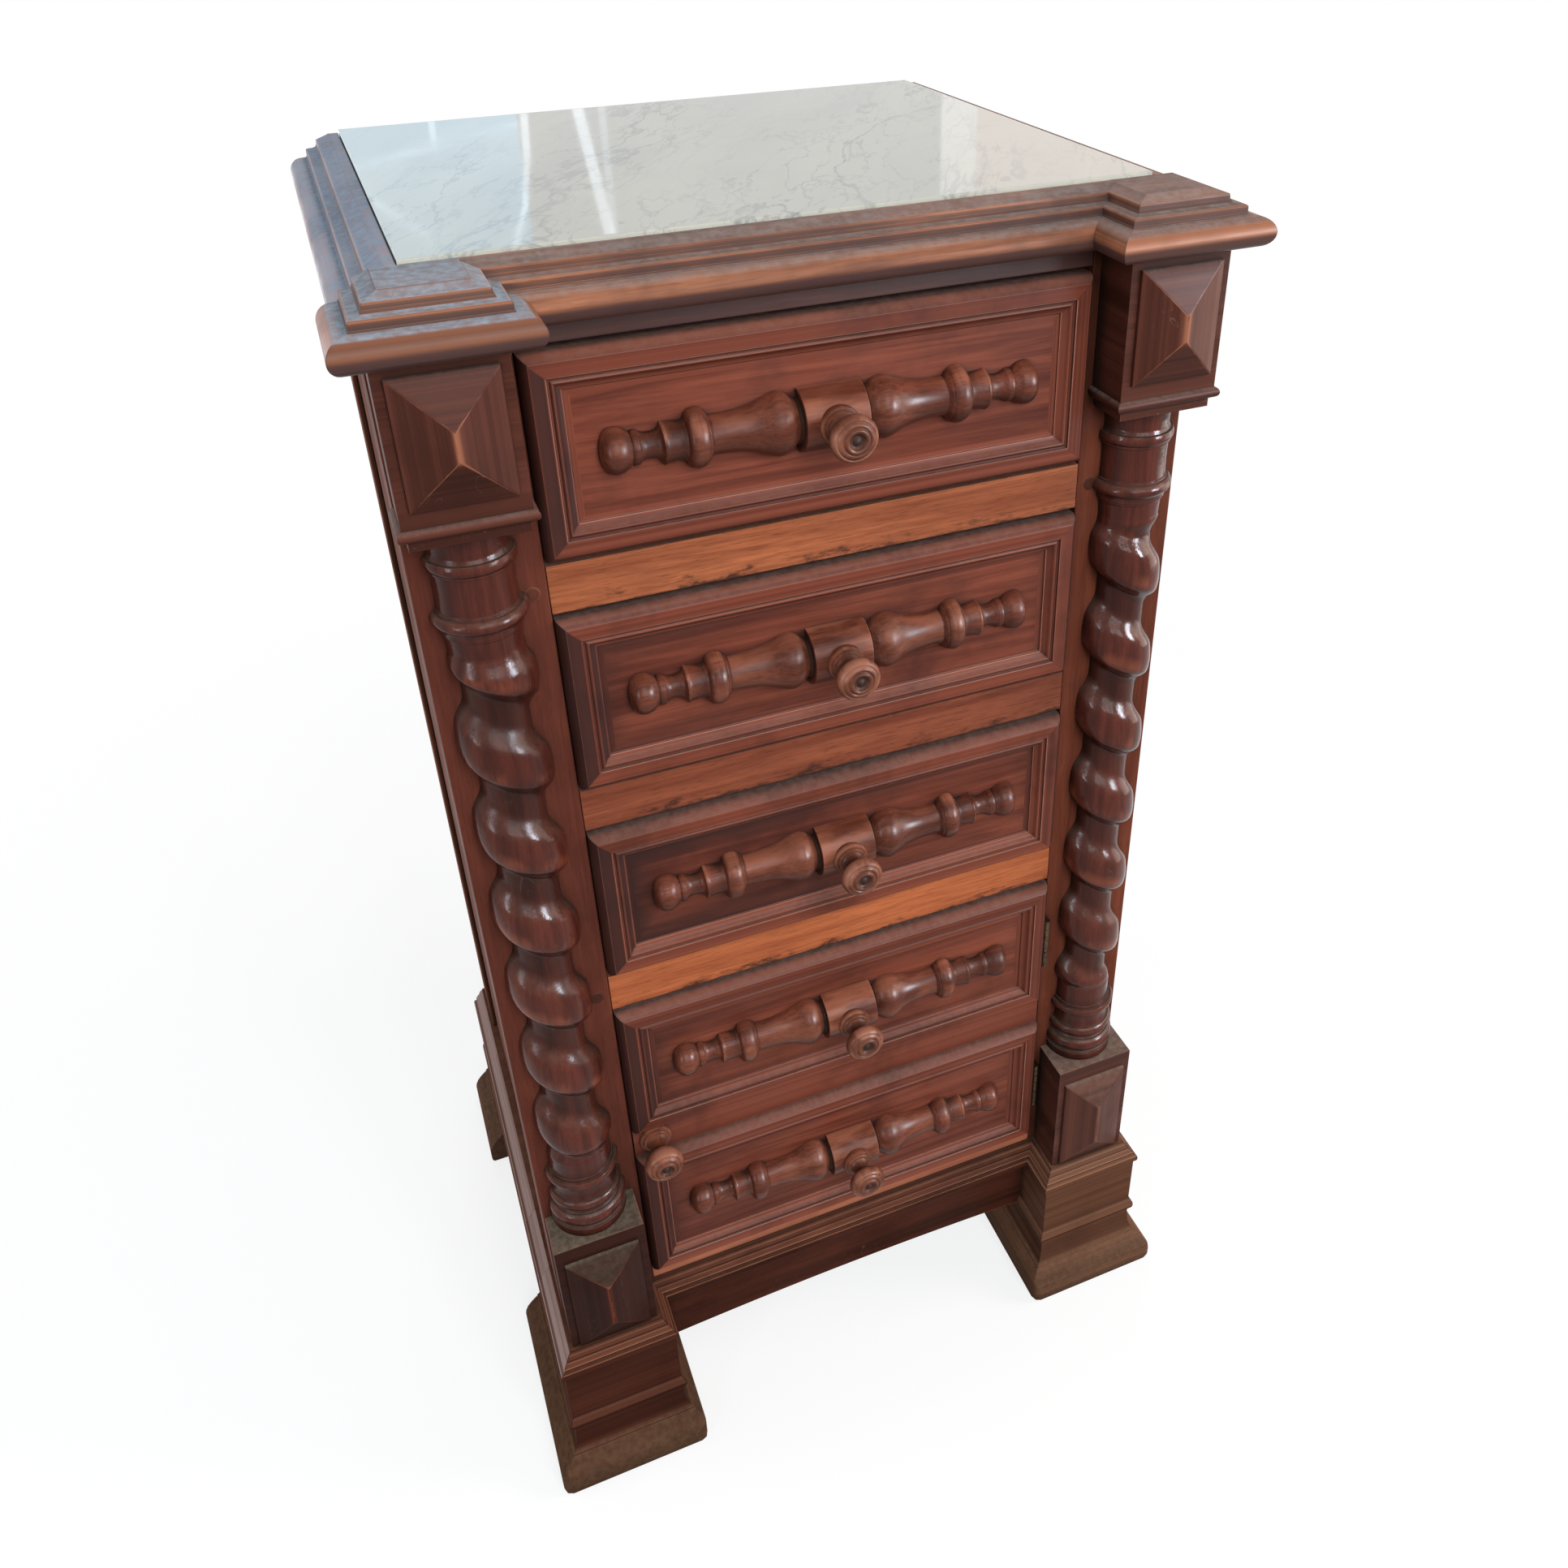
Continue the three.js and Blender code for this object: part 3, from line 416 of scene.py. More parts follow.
def wood(name, dark, light, grain="uv", worn_and_lit=(0.36, 0.17, 0.1), grime_and_shade=(0.03, 0.022, 0.015),
         dust_and_sheen=(0.33, 0.24, 0.2), dust_and_sheen_amount=0.25, roughness=0.42, figure=1.0, stain=0.35, wear_and_light=1.0,
         specular=0.16, fibre=0.5, grime_and_shade_strength=0.85, reach=0.012, edge_darkening=0.0, ripple=0.0, underside_shade=0.5,
         underside_shade_from=0.12, underside_shade_to=-0.6, underside_shade_colour=None, dust_and_sheen_from=0.25, settled=False, scratches=0.0,
         window_light=0.0, patchy=1.0):
    """Old waxed wood. grain is uv, or the axis that the fibres run along."""
    material, tree = new_material(name)
    place = add_node(tree, "TexCoord").outputs
    source = place["UV"] if grain == "uv" else place["Object"]
    number = add_node(tree, "ObjectInfo").outputs["Random"]
    offset = {axis: times(number, share) for axis, share in (("X", 13.0), ("Y", 7.0), ("Z", 3.0))}
    offset = derived("CombineXYZ", offset)
    along = {"uv": 0, "x": 0, "y": 1, "z": 2}[grain]
    stretch = [1.0, 1.0, 1.0]
    stretch[along] = GRAIN_STRETCH
    fibres = scaled(source, tuple(stretch), offset)
    figure_lines = noise_of(fibres, *FIGURE)
    broad = noise_of(fibres, *BROAD_FIGURE)
    fine = noise_of(fibres, *FINE_FIBRE)
    pores = noise_of(fibres, *PORES)
    solid_place = scaled(place["Object"], (1.0, 1.0, 1.0), offset)
    patches = noise_of(solid_place, *PATCHES)
    specks = noise_of(solid_place, *SPECKS)

    share = plus(times(figure_lines, 0.65), times(broad, 0.35))
    share = ramp(share, 0.5 - 0.2 * figure, 0.5 + 0.2 * figure)
    colour = mix(share, dark, light)
    colour = mix(ramp(fine, 0.38, 0.7, 0.0, 0.42 * fibre), colour, darker(dark, 0.45))
    colour = mix(ramp(pores, 0.64, 0.72, 0.0, 0.5 * fibre), colour, darker(dark, 0.3))
    colour = mix(ramp(patches, 0.48, 0.75, 0.0, stain), colour, darker(dark, 0.5))
    # Darker along the top and bottom edges of a piece, with blots
    if edge_darkening:
        height = derived("SeparateXYZ", {0: place["Generated"]}, "Z")
        blot = noise_of(scaled(place["Object"], (0.35, 1.0, 1.0)), *EDGE_BLOTS)
        edge = plus(times(off_middle(height), 2.0), times(minus(blot, 0.5), 2.4))
        colour = mix(ramp(edge, 0.75, 1.25, 0.0, edge_darkening), colour, grime_and_shade)

    tone = add_node(tree, "Attribute", attribute_name="tone").outputs["Fac"]
    stretch[along] = WEAR_STRETCH
    blotches = noise_of(scaled(source, tuple(stretch), offset), *BLOTCHES)
    # Positive tones lighten arrises and rounds: wear, and painted light where tones were raised for the
    # light that falls on them
    raised = times(tone, ramp(blotches, 0.38, 0.64, 1 - 0.75 * patchy, 1 + 0.25 * patchy))
    wear_and_light_mask = ramp(raised, 0.12, 0.95, 0.0, wear_and_light)
    # Ambient occlusion and negative tones darken corners, hollows and the gaps between parts: grime
    # together with painted shade
    shade = add_node(tree, "AmbientOcclusion", {"Distance": reach}, samples=8).outputs["AO"]
    sunk = minus(ramp(shade, 0.88, 0.3), times(tone, 0.8))
    sunk = plus(sunk, times(minus(blotches, 0.5), 0.7 * patchy))
    grime_and_shade_mask = ramp(sunk, 0.1, 0.95, 0.0, grime_and_shade_strength)
    colour = mix(wear_and_light_mask, colour, worn_and_lit)
    colour = mix(grime_and_shade_mask, colour, grime_and_shade)

    normal = add_node(tree, "NewGeometry").outputs["Normal"]
    sideways, upright = (derived("SeparateXYZ", {0: normal}, axis) for axis in ("X", "Z"))
    # Painted shade: faces that point downwards are darker
    underside_shade_mask = ramp(upright, underside_shade_from, underside_shade_to, 0.0, underside_shade)
    colour = mix(underside_shade_mask, colour, underside_shade_colour or darker(dark, 0.35))
    if scratches:
        marks = noise_of(scaled(solid_place, (1.0, 1.0, 0.3)), *SCRATCHES)
        marks = ramp(off_middle(marks), 0.006, 0.001)
        marks = times(marks, ramp(blotches, 0.55, 0.68, 0.0, scratches))
        colour = mix(marks, colour, dust_and_sheen)
    # Upward faces are lighter: settled dust, together with painted sheen and painted light from above
    upward = ramp(upright, dust_and_sheen_from, 0.95)
    height = derived("SeparateXYZ", {0: place["Object"]}, "Z")
    # Painted light from a window at the left on left-facing faces
    if window_light:
        window_light_mask = times(ramp(sideways, -0.2, -0.6), ramp(height, *WINDOW_LIGHT_ABOVE))
        window_light_mask = times(window_light_mask, ramp(figure_lines, 0.3, 0.6, 0.55 * window_light, window_light))
        window_light_mask = times(window_light_mask, minus(1.0, grime_and_shade_mask))
        colour = mix(window_light_mask, colour, WINDOW_LIGHT_COLOUR)
    if settled:
        upward = times(upward, ramp(height, *DUST_HEIGHTS, 0.3, 1.0))
        upward = calc("MAXIMUM", upward, ramp(height, *TOE_DUST_HEIGHTS, 0.0, 0.85))
    upward_patches = times(upward, ramp(specks, 0.25, 0.75, 0.45, 1.0))
    dust_and_sheen_mask = times(upward_patches, dust_and_sheen_amount)
    colour = mix(dust_and_sheen_mask, colour, dust_and_sheen)

    rough = plus(ramp(patches, 0.3, 0.7, roughness - 0.07, roughness + 0.09), times(grime_and_shade_mask, 0.25))
    rough = plus(rough, times(dust_and_sheen_mask, 0.6), clamped=True)
    relief = plus(times(fine, 0.5), times(specks, 0.5))
    bump = bumped(relief, 0.35, 0.00022)
    if ripple:
        wavy = noise_of(place["Object"], *RIPPLES)
        bump = bumped(wavy, ripple, 0.00035, Normal=bump)
    finish_material(tree, colour, rough, bump, "Specular IOR Level", specular)
    return material


STONE_CLOUD = (9.0, 5.0, 0.6, 0.5)
STONE_GATE = (6.0, 3.0, 0.5)  # where there are veins
STONE_SMEAR = (24.0, 3.0, 0.6)
STONE_RELIEF = (60.0, 2.0, 0.5)
VEINS = ((13.0, 0.02, 0.6), (34.0, 0.022, 0.42))  # scale, width, depth


def stone(name):
    """Polished white marble with fine grey veins."""
    material, tree = new_material(name)
    place = add_node(tree, "TexCoord").outputs["Object"]
    skew = {"Vector": place, "Rotation": (0.0, 0.0, math.radians(60)), "Scale": (3.2, 1.0, 1.0)}
    skewed = derived("Mapping", skew, vector_type="TEXTURE")
    cloud = noise_of(skewed, *STONE_CLOUD)
    gate = ramp(noise_of(skewed, *STONE_GATE), 0.38, 0.6)
    colour = mix(ramp(cloud, 0.35, 0.7), (0.5, 0.49, 0.42), (0.42, 0.42, 0.375))
    for scale, width, depth in VEINS:
        lines = noise_of(skewed, scale, 5.0, 0.6, 0.5)
        vein = times(ramp(off_middle(lines), width, 0.0, 0.0, depth), gate)
        colour = mix(vein, colour, (0.16, 0.18, 0.185))
    rough = ramp(noise_of(place, *STONE_SMEAR), 0.3, 0.8, 0.04, 0.08)
    bump = bumped(noise_of(place, *STONE_RELIEF), 0.08, 0.0002)
    finish_material(tree, colour, rough, bump, "Specular IOR Level", 0.5)
    return material


def metal(name):
    """Tarnished brass."""
    material, tree = new_material(name)
    spots = noise_of(add_node(tree, "TexCoord").outputs["Object"], 320.0, 4.0, 0.6)
    colour = mix(ramp(spots, 0.35, 0.7), (0.11, 0.07, 0.04), (0.035, 0.024, 0.016))
    rough = ramp(spots, 0.3, 0.7, 0.3, 0.6)
    finish_material(tree, colour, rough, bumped(spots, 0.3, 0.0001), "Metallic", 1.0)
    return material


# The front wood's pale worn colour also paints the light that the upward-facing mouldings catch
front_wood = wood("front_wood", (0.095, 0.022, 0.013), (0.27, 0.072, 0.04), stain=0.75, figure=0.95,
                  worn_and_lit=(0.43, 0.2, 0.14), grime_and_shade=(0.02, 0.008, 0.007), specular=0.1, dust_and_sheen_amount=0.2,
                  fibre=0.35, patchy=0.8)
CORNICE_LOOKS = {"dark": (0.13, 0.05, 0.03), "light": (0.46, 0.18, 0.09), "worn_and_lit": (0.5, 0.22, 0.13),
                 "grime_and_shade": (0.05, 0.035, 0.034), "reach": 0.01, "underside_shade": 0.85, "stain": 0.7,
                 "underside_shade_from": 0.15, "underside_shade_to": -0.22, "underside_shade_colour": (0.05, 0.028, 0.03)}
cornice_wood = wood("cornice_wood", **CORNICE_LOOKS, roughness=0.38, dust_and_sheen=(0.34, 0.3, 0.285),
                    dust_and_sheen_amount=0.48, specular=0.08, dust_and_sheen_from=0.6)
# The left corner cap and the left cornice take copies whose bluish colour on upward faces paints the sheen
# of a window at the left, over some dust
sheen_cap_wood = wood("sheen_cap_wood", **CORNICE_LOOKS, roughness=0.34, dust_and_sheen=(0.36, 0.45, 0.53),
                dust_and_sheen_amount=0.75, specular=0.12, dust_and_sheen_from=0.8)
sheen_cornice_wood = wood("sheen_cornice_wood", **CORNICE_LOOKS, roughness=0.27, dust_and_sheen=(0.25, 0.35, 0.46),
                  dust_and_sheen_amount=0.85, specular=0.22, dust_and_sheen_from=0.1)
block_wood = wood("block_wood", (0.045, 0.014, 0.009), (0.125, 0.038, 0.024), worn_and_lit=(0.3, 0.11, 0.06),
                  roughness=0.4, dust_and_sheen_amount=0.3, grime_and_shade=(0.012, 0.006, 0.004), reach=0.02, specular=0.06,
                  scratches=0.2)
# The pedestals take copies of one wood: the left one darker as painted shade, the right one paler as
# painted light
PEDESTAL_LOOKS = {"wear_and_light": 0.7, "reach": 0.02, "dust_and_sheen_from": 0.0, "scratches": 0.25}
shaded_pedestal_wood = wood("shaded_pedestal_wood", (0.018, 0.006, 0.004), (0.05, 0.015, 0.01), worn_and_lit=(0.24, 0.055, 0.03),
                     roughness=0.48, dust_and_sheen=(0.2, 0.16, 0.115), dust_and_sheen_amount=0.65,
                     grime_and_shade=(0.008, 0.005, 0.003), specular=0.04, **PEDESTAL_LOOKS)
lit_pedestal_wood = wood("lit_pedestal_wood", (0.045, 0.015, 0.01), (0.12, 0.04, 0.026),
                          worn_and_lit=(0.26, 0.09, 0.055), roughness=0.45, dust_and_sheen=(0.27, 0.2, 0.155),
                          dust_and_sheen_amount=0.6, grime_and_shade=(0.014, 0.008, 0.005), specular=0.08, **PEDESTAL_LOOKS)
# The base woods are dark as painted shade towards the floor; the left foot and the apron take the darkest
# copy, the right foot and plinth a paler copy as painted light, and the left plinth a copy painted lit by a
# window at the left
BASE_LOOKS = {"grime_and_shade": (0.02, 0.01, 0.007), "roughness": 0.6, "specular": 0.03, "reach": 0.02,
              "settled": True, "patchy": 0.3}
LEFT_BASE_LOOKS = {**BASE_LOOKS, "worn_and_lit": (0.32, 0.12, 0.07), "grime_and_shade_strength": 0.7, "window_light": 0.8}
shaded_base_wood = wood("shaded_base_wood", (0.03, 0.009, 0.005), (0.08, 0.023, 0.013), dust_and_sheen=(0.17, 0.105, 0.06),
                 dust_and_sheen_amount=0.55, scratches=0.3, **LEFT_BASE_LOOKS)
window_lit_base_wood = wood("window_lit_base_wood", (0.05, 0.018, 0.011), (0.12, 0.045, 0.027),
                      dust_and_sheen=(0.2, 0.13, 0.085), dust_and_sheen_amount=0.5, **LEFT_BASE_LOOKS)
lit_base_wood = wood("lit_base_wood", (0.06, 0.025, 0.014), (0.18, 0.075, 0.042),
                      dust_and_sheen=(0.27, 0.165, 0.1), dust_and_sheen_amount=0.3, worn_and_lit=(0.38, 0.19, 0.12), grime_and_shade_strength=0.9,
                      **BASE_LOOKS)
# The left post takes a darker copy of the post wood as painted shade
shaded_left_post_wood = wood("shaded_left_post_wood", (0.095, 0.026, 0.017), (0.16, 0.044, 0.027), "z", stain=0.4,
                      reach=0.03, grime_and_shade=(0.025, 0.01, 0.007), grime_and_shade_strength=0.6, specular=0.04, roughness=0.5)
post_wood = wood("post_wood", (0.1, 0.026, 0.014), (0.2, 0.054, 0.028), "z", stain=0.5, reach=0.03,
                 grime_and_shade=(0.02, 0.008, 0.005), grime_and_shade_strength=0.75, specular=0.04, roughness=0.5)
RAIL_LOOKS = {"grain": "x", "fibre": 1.0, "edge_darkening": 0.9, "grime_and_shade": (0.03, 0.013, 0.009), "grime_and_shade_strength": 0.6,
              "roughness": 0.5, "specular": 0.1}
rail_wood = wood("rail_wood", (0.23, 0.058, 0.024), (0.46, 0.145, 0.058), stain=0.45, **RAIL_LOOKS)
red_rail_wood = wood("red_rail_wood", (0.15, 0.035, 0.017), (0.3, 0.085, 0.04), stain=0.45, **RAIL_LOOKS)
low_rail_wood = wood("low_rail_wood", (0.31, 0.075, 0.029), (0.56, 0.165, 0.06), stain=0.1, **RAIL_LOOKS)
spindle_wood = wood("spindle_wood", (0.065, 0.017, 0.01), (0.2, 0.055, 0.03), "x",
                    worn_and_lit=(0.42, 0.15, 0.085), roughness=0.33, dust_and_sheen_amount=0.0, fibre=1.0, stain=0.75,
                    grime_and_shade=(0.012, 0.008, 0.005), specular=0.13, reach=0.01, wear_and_light=0.9)
knob_wood = wood("knob_wood", (0.085, 0.025, 0.013), (0.215, 0.066, 0.034), "y", worn_and_lit=(0.33, 0.13, 0.08),
                 wear_and_light=0.8, roughness=0.33, dust_and_sheen_amount=0.0, grime_and_shade=(0.016, 0.009, 0.005), specular=0.13,
                 reach=0.008)
column_wood = wood("column_wood", (0.045, 0.011, 0.008), (0.13, 0.032, 0.02), "z", roughness=0.15,
                   worn_and_lit=(0.26, 0.068, 0.036), dust_and_sheen=(0.15, 0.11, 0.08), dust_and_sheen_amount=0.3,
                   grime_and_shade=(0.014, 0.006, 0.004), specular=0.11, reach=0.03, ripple=0.5, dust_and_sheen_from=0.1,
                   scratches=0.2)
BOX_LOOKS = {"dark": (0.3, 0.16, 0.075), "light": (0.47, 0.29, 0.15), "roughness": 0.65, "stain": 0.25,
             "dust_and_sheen_amount": 0.1}
box_wood = wood("box_wood", grain="y", **BOX_LOOKS)
box_back_wood = wood("box_back_wood", grain="x", **BOX_LOOKS)
back_wood = wood("back_wood", (0.2, 0.1, 0.05), (0.34, 0.19, 0.1), "z", roughness=0.7, stain=0.45)
board_wood = wood("board_wood", (0.045, 0.018, 0.015), (0.09, 0.036, 0.028), "x", roughness=0.5)
floor_wood = wood("floor_wood", (0.33, 0.097, 0.052), (0.5, 0.18, 0.097), "x", roughness=0.45)
side_wood = wood("side_wood", (0.085, 0.024, 0.013), (0.18, 0.052, 0.028), "z", reach=0.02,
                 specular=0.04, roughness=0.6)
marble = stone("marble")
brass = metal("brass")


# Top


CORNICE_HEIGHT = 33.2
CORNICE_BASE = limits("corner_cap_right")[0].z
MARBLE_LOW, MARBLE_HIGH = limits("marble_top")
MARBLE_GAP = 0.3
MARBLE_ROUNDING = 0.6
BLOCK_LOW, BLOCK_HIGH = limits("pedestal_right")
CAP_BACK = limits("corner_cap_right")[1].y
PANEL_RISE = 13.0
BLOCK = {"inner": BLOCK_LOW.x, "outer": BLOCK_HIGH.x, "front": BLOCK_LOW.y + PANEL_RISE}
BLOCK_MIDDLE = (BLOCK["inner"] + BLOCK["outer"]) / 2

BULLNOSE = 9.2  # radius
FASCIA = 18.2  # height above which the moulding is darker
ARRIS = 25.5  # height above which its arrises are hardly worn
CORNICE_IN, CORNICE_OUT = -12.3, 18.0  # how far in its slope ends, and out from the side it stands
LEDGE_WIDTH = 14  # of the ledge that carries the marble
FRONT_EDGE = -17.5  # reach of the front moulding's inner edge
cornice_outline = (
    arc(8.8, BULLNOSE, BULLNOSE, BULLNOSE, -90, 78, 14)
    + [(7.2, 18.4), (5.6, 18.6), (4.8, 19.6), (4.8, 23.4)]
    + [(3.9, 24.3), (0.2, 24.4)]
    + [(-2.0, 25.0), (-3.1, 26.6), (-3.3, 28.6), (-3.5, 29.9), (-4.8, 30.3), (-11.4, 32.6)]
    + [(CORNICE_IN, CORNICE_HEIGHT)]
)


def cornice_tone(up, tone):
    if up < FASCIA:
        return tone
    return tone - 0.7 if abs(tone) < 0.3 else min(tone, 0.2 if up > ARRIS else 0.45)


cornice_profile = [(reach, up, cornice_tone(up, tone)) for reach, up, tone in eased(cornice_outline, 0.5)]


def cornice_section(inner):
    """The cornice's profile with its inner edge and the ledge below the marble."""
    ledge = MARBLE_LOW.z - MARBLE_GAP - CORNICE_BASE
    return cornice_profile + [
        (inner + 0.6, CORNICE_HEIGHT, 0.4),
        (inner, CORNICE_HEIGHT - 0.6, -0.6),
        (inner, ledge, 0.0),
        (inner - LEDGE_WIDTH, ledge, 0.0),
        (inner - LEDGE_WIDTH, 0, 0.0),
    ]


def build_top():
    cap = stack(cornice_profile, {**BLOCK, "back": CAP_BACK}, CORNICE_BASE, -0.9)
    end = BLOCK["inner"] - CORNICE_IN
    section = cornice_section(FRONT_EDGE)
    front = run([(x, section) for x in evenly(-end, end, 24)], 0,
                lambda r, up, x: (x, -r, CORNICE_BASE + up))
    face = limits("cornice_right")[1].x - CORNICE_OUT
    section = cornice_section(MARBLE_HIGH.x + MARBLE_GAP - face)
    side = run([(y, section) for y in evenly(CAP_BACK + MARBLE_GAP, MARBLE_HIGH.y, 20)], 1,
               lambda r, up, y: (face + r, y, CORNICE_BASE + up))
    for node, timber, body, arris, angle in (
        ("corner_cap_right", cornice_wood, cap, 0.5, 50),
        ("corner_cap_left", sheen_cap_wood, mirrored(cap), 0.5, 50),
        ("cornice_front", cornice_wood, front, 0.0, 50),
        ("cornice_right", cornice_wood, side, 0.4, 60),
        ("cornice_left", sheen_cornice_wood, mirrored(side), 0.4, 60),
    ):
        add_piece(node + "_worn", CARCASS, [node], timber, [body], arris, angle)
    add_piece("marble_slab", CARCASS, ["marble_top"], marble, [build_slab()])


def build_slab():
    """The marble with rounded upper and lower edges."""
    low, high, inset = MARBLE_LOW, MARBLE_HIGH, -3 * MARBLE_ROUNDING
    rings = []
    for reach, z, _ in eased([(inset, low.z), (0, low.z), (0, high.z), (inset, high.z)], MARBLE_ROUNDING):
        rings.append(rectangle(low.x - reach, high.x + reach, low.y - reach, high.y + reach,
                               lambda a, b, z=z: (a, b, z)))
    return loft(rings, [[0.0] * RING_POINTS] * len(rings), rectangle_sides(0, 1))


# Blocks with raised panels


RIDGE = 0.8  # width of the ridge where a panel's slopes meet
# (share of the way to the ridge, rise, tone, tone of the upright arrises) of a panel's slopes
PANEL_LEVELS = [
    (0.0, -2.5, 0.0, 0.2), (0.0, 2.1, 0.1, 0.3), (0.004, 2.5, 0.2, 0.35), (0.03, 2.9, 0.0, 0.35),
    (0.25, 5.2, 0.0, 0.45), (0.55, 8.35, 0.0, 0.6), (0.8, 10.95, 0.05, 0.8),
    (0.92, 12.2, 0.35, 0.95), (0.975, 12.8, 0.8, 1.0), (1.0, PANEL_RISE, 1.0, 1.0),
]
PANEL_MARGIN = 6  # from a panel's edge to the block's
PANEL_WIDTH = BLOCK["outer"] - BLOCK["inner"] - 2 * PANEL_MARGIN
PANEL_CREASES = (1.4, 1.1)  # at a panel's edge and at its ridge
CAPITAL_HEIGHT = 104
CAPITAL_PANEL = (7.5, 73)  # distance from the top, and height
PEDESTAL_PANEL = (16, 101)
capital_outline = (
    [(-2, 0), (-2, 5.2), (-1.2, 6.4)]
    + arc(-0.4, 10.0, 3.4, 3.5, -88, 84, 8)
    + [(0, 14.4), (0, CAPITAL_HEIGHT)]
)


def hip_panel(top, distance, height):
    """A raised panel whose four slopes meet in an upright arris."""
    middle = top - distance - height / 2
    ridge = max(height - PANEL_WIDTH, 0) + RIDGE
    rings, tones = [], []
    for share, rise, tone, mitre in PANEL_LEVELS:
        w, h = lerp(PANEL_WIDTH, RIDGE, share), lerp(height, ridge, share)
        crease = min(lerp(*PANEL_CREASES, share), 0.3 * w)
        rings.append(rectangle(BLOCK_MIDDLE - w / 2, BLOCK_MIDDLE + w / 2, middle - h / 2, middle + h / 2,
                               lambda a, b, y=BLOCK["front"] - rise: (a, y, b), crease))
        tones.append([tone, mitre, tone] * 4)
    return loft(rings, tones, rectangle_sides(0, 2), (0, 2))


def build_blocks():
    plan = {**BLOCK, "back": 0.0}
    capital = [stack(eased(capital_outline, 0.4), plan, limits("capital_block_right")[0].z, 0.35),
               hip_panel(CORNICE_BASE, *CAPITAL_PANEL)]
    low, high = BLOCK_LOW.z, BLOCK_HIGH.z
    outline = [(-8, 0), (0, 0), (0, high - low), (-8, high - low)]
    pedestal = [stack(eased(outline, 0.8), plan, low, 0.4), hip_panel(high, *PEDESTAL_PANEL)]
    for node, timber, parts in (
        ("capital_block_right", block_wood, capital),
        ("capital_block_left", block_wood, [mirrored(part) for part in capital]),
        ("pedestal_right", lit_pedestal_wood, pedestal),
        ("pedestal_left", shaded_pedestal_wood, [mirrored(part) for part in pedestal]),
    ):
        add_piece(node + "_worn", CARCASS, [node], timber, parts, 0.5, 60)


# Turned work: runs of (share along, share of the radius) that meet in crisp corners

SPINDLE_RUNS = [
    [(0, 1), (0.14, 1)],
    [(0.144, 0.98), (0.1465, 0.74)],
    [(0.152, 0.7), (0.17, 0.76), (0.195, 0.9), (0.225, 0.985), (0.25, 0.99), (0.28, 0.93), (0.32, 0.81),
     (0.37, 0.71), (0.43, 0.645), (0.5, 0.615), (0.535, 0.63)],
    [(0.542, 0.7), (0.548, 0.76)],
    [(0.553, 0.78), (0.565, 0.87), (0.595, 0.925), (0.625, 0.87), (0.637, 0.78)],
    [(0.642, 0.66), (0.655, 0.6)],
    [(0.665, 0.59), (0.72, 0.63), (0.732, 0.66)],
    [(0.74, 0.655), (0.75, 0.5), (0.765, 0.43), (0.79, 0.4), (0.815, 0.42), (0.835, 0.49)],
    [(0.84, 0.53), (0.855, 0.545), (0.865, 0.53)],
    [(0.87, 0.5), (0.885, 0.58), (0.905, 0.67), (0.935, 0.715), (0.965, 0.67), (0.985, 0.52), (0.996, 0.3)],
    [(1, 0.16), (1, 0.02)],
]
KNOB_RUNS = [
    [(0, 0.845), (0.04, 0.855), (0.09, 0.82)],
    [(0.1, 0.72), (0.13, 0.7), (0.16, 0.66)],
    [(0.17, 0.56), (0.24, 0.47), (0.33, 0.42), (0.42, 0.43), (0.5, 0.5)],
    [(0.52, 0.6), (0.56, 0.75), (0.62, 0.9), (0.7, 0.985), (0.78, 1), (0.85, 0.96), (0.9, 0.88)],
    [(0.905, 0.84), (0.9, 0.8)],
    [(0.92, 0.77), (0.955, 0.7), (0.965, 0.62)],
    [(0.95, 0.58), (0.955, 0.55), (0.99, 0.5), (1, 0.43), (0.985, 0.36)],
    [(0.955, 0.32), (0.93, 0.26), (0.925, 0.2)],
    [(0.93, 0.17), (0.955, 0.1), (0.965, 0.03)],
]
COLUMN_BASE_RUNS = [
    [(0, 1.055), (0.095, 1.06)],
    [(0.105, 1.0), (0.115, 0.97)],
    [(0.12, 0.98), (0.15, 1.045), (0.2, 1.075), (0.25, 1.045), (0.28, 0.97)],
    [(0.285, 0.93), (0.315, 0.885), (0.345, 0.9)],
    [(0.35, 0.94), (0.375, 0.995), (0.405, 1.01), (0.435, 0.99), (0.455, 0.94)],
    [(0.46, 0.9), (0.52, 0.86), (0.59, 0.855), (0.65, 0.875)],
    [(0.655, 0.95), (0.68, 1.0), (0.715, 1.01), (0.745, 0.975)],
    [(0.75, 0.9), (0.78, 0.89)],
    [(0.785, 0.855), (0.86, 0.845), (1, 0.84)],
]
COLUMN_HEAD_RUNS = [
    [(0, 0.8), (0.06, 0.81), (0.14, 0.83)],
    [(0.15, 0.86), (0.165, 0.86)],
    [(0.17, 0.89), (0.2, 0.9), (0.225, 0.92)],
    [(0.23, 0.96), (0.255, 1.015), (0.285, 1.03), (0.315, 1.0), (0.335, 0.95)],
    [(0.34, 0.9), (0.355, 0.895)],
    [(0.36, 0.868), (0.5, 0.855), (0.655, 0.865)],
    [(0.66, 0.9), (0.68, 0.905)],
    [(0.685, 0.92), (0.705, 0.955), (0.735, 0.965), (0.77, 0.94)],
    [(0.775, 0.88), (0.8, 0.85)],
    [(0.81, 0.84), (0.88, 0.845), (0.95, 0.88), (1, 0.935)],
]


TURNED_EASE = 0.3
TONE_REACH = 7.0  # rounds and hollows are told apart within this distance
HOLLOW_DEPTH = 0.16  # depth with the full tone, as a share of the radius


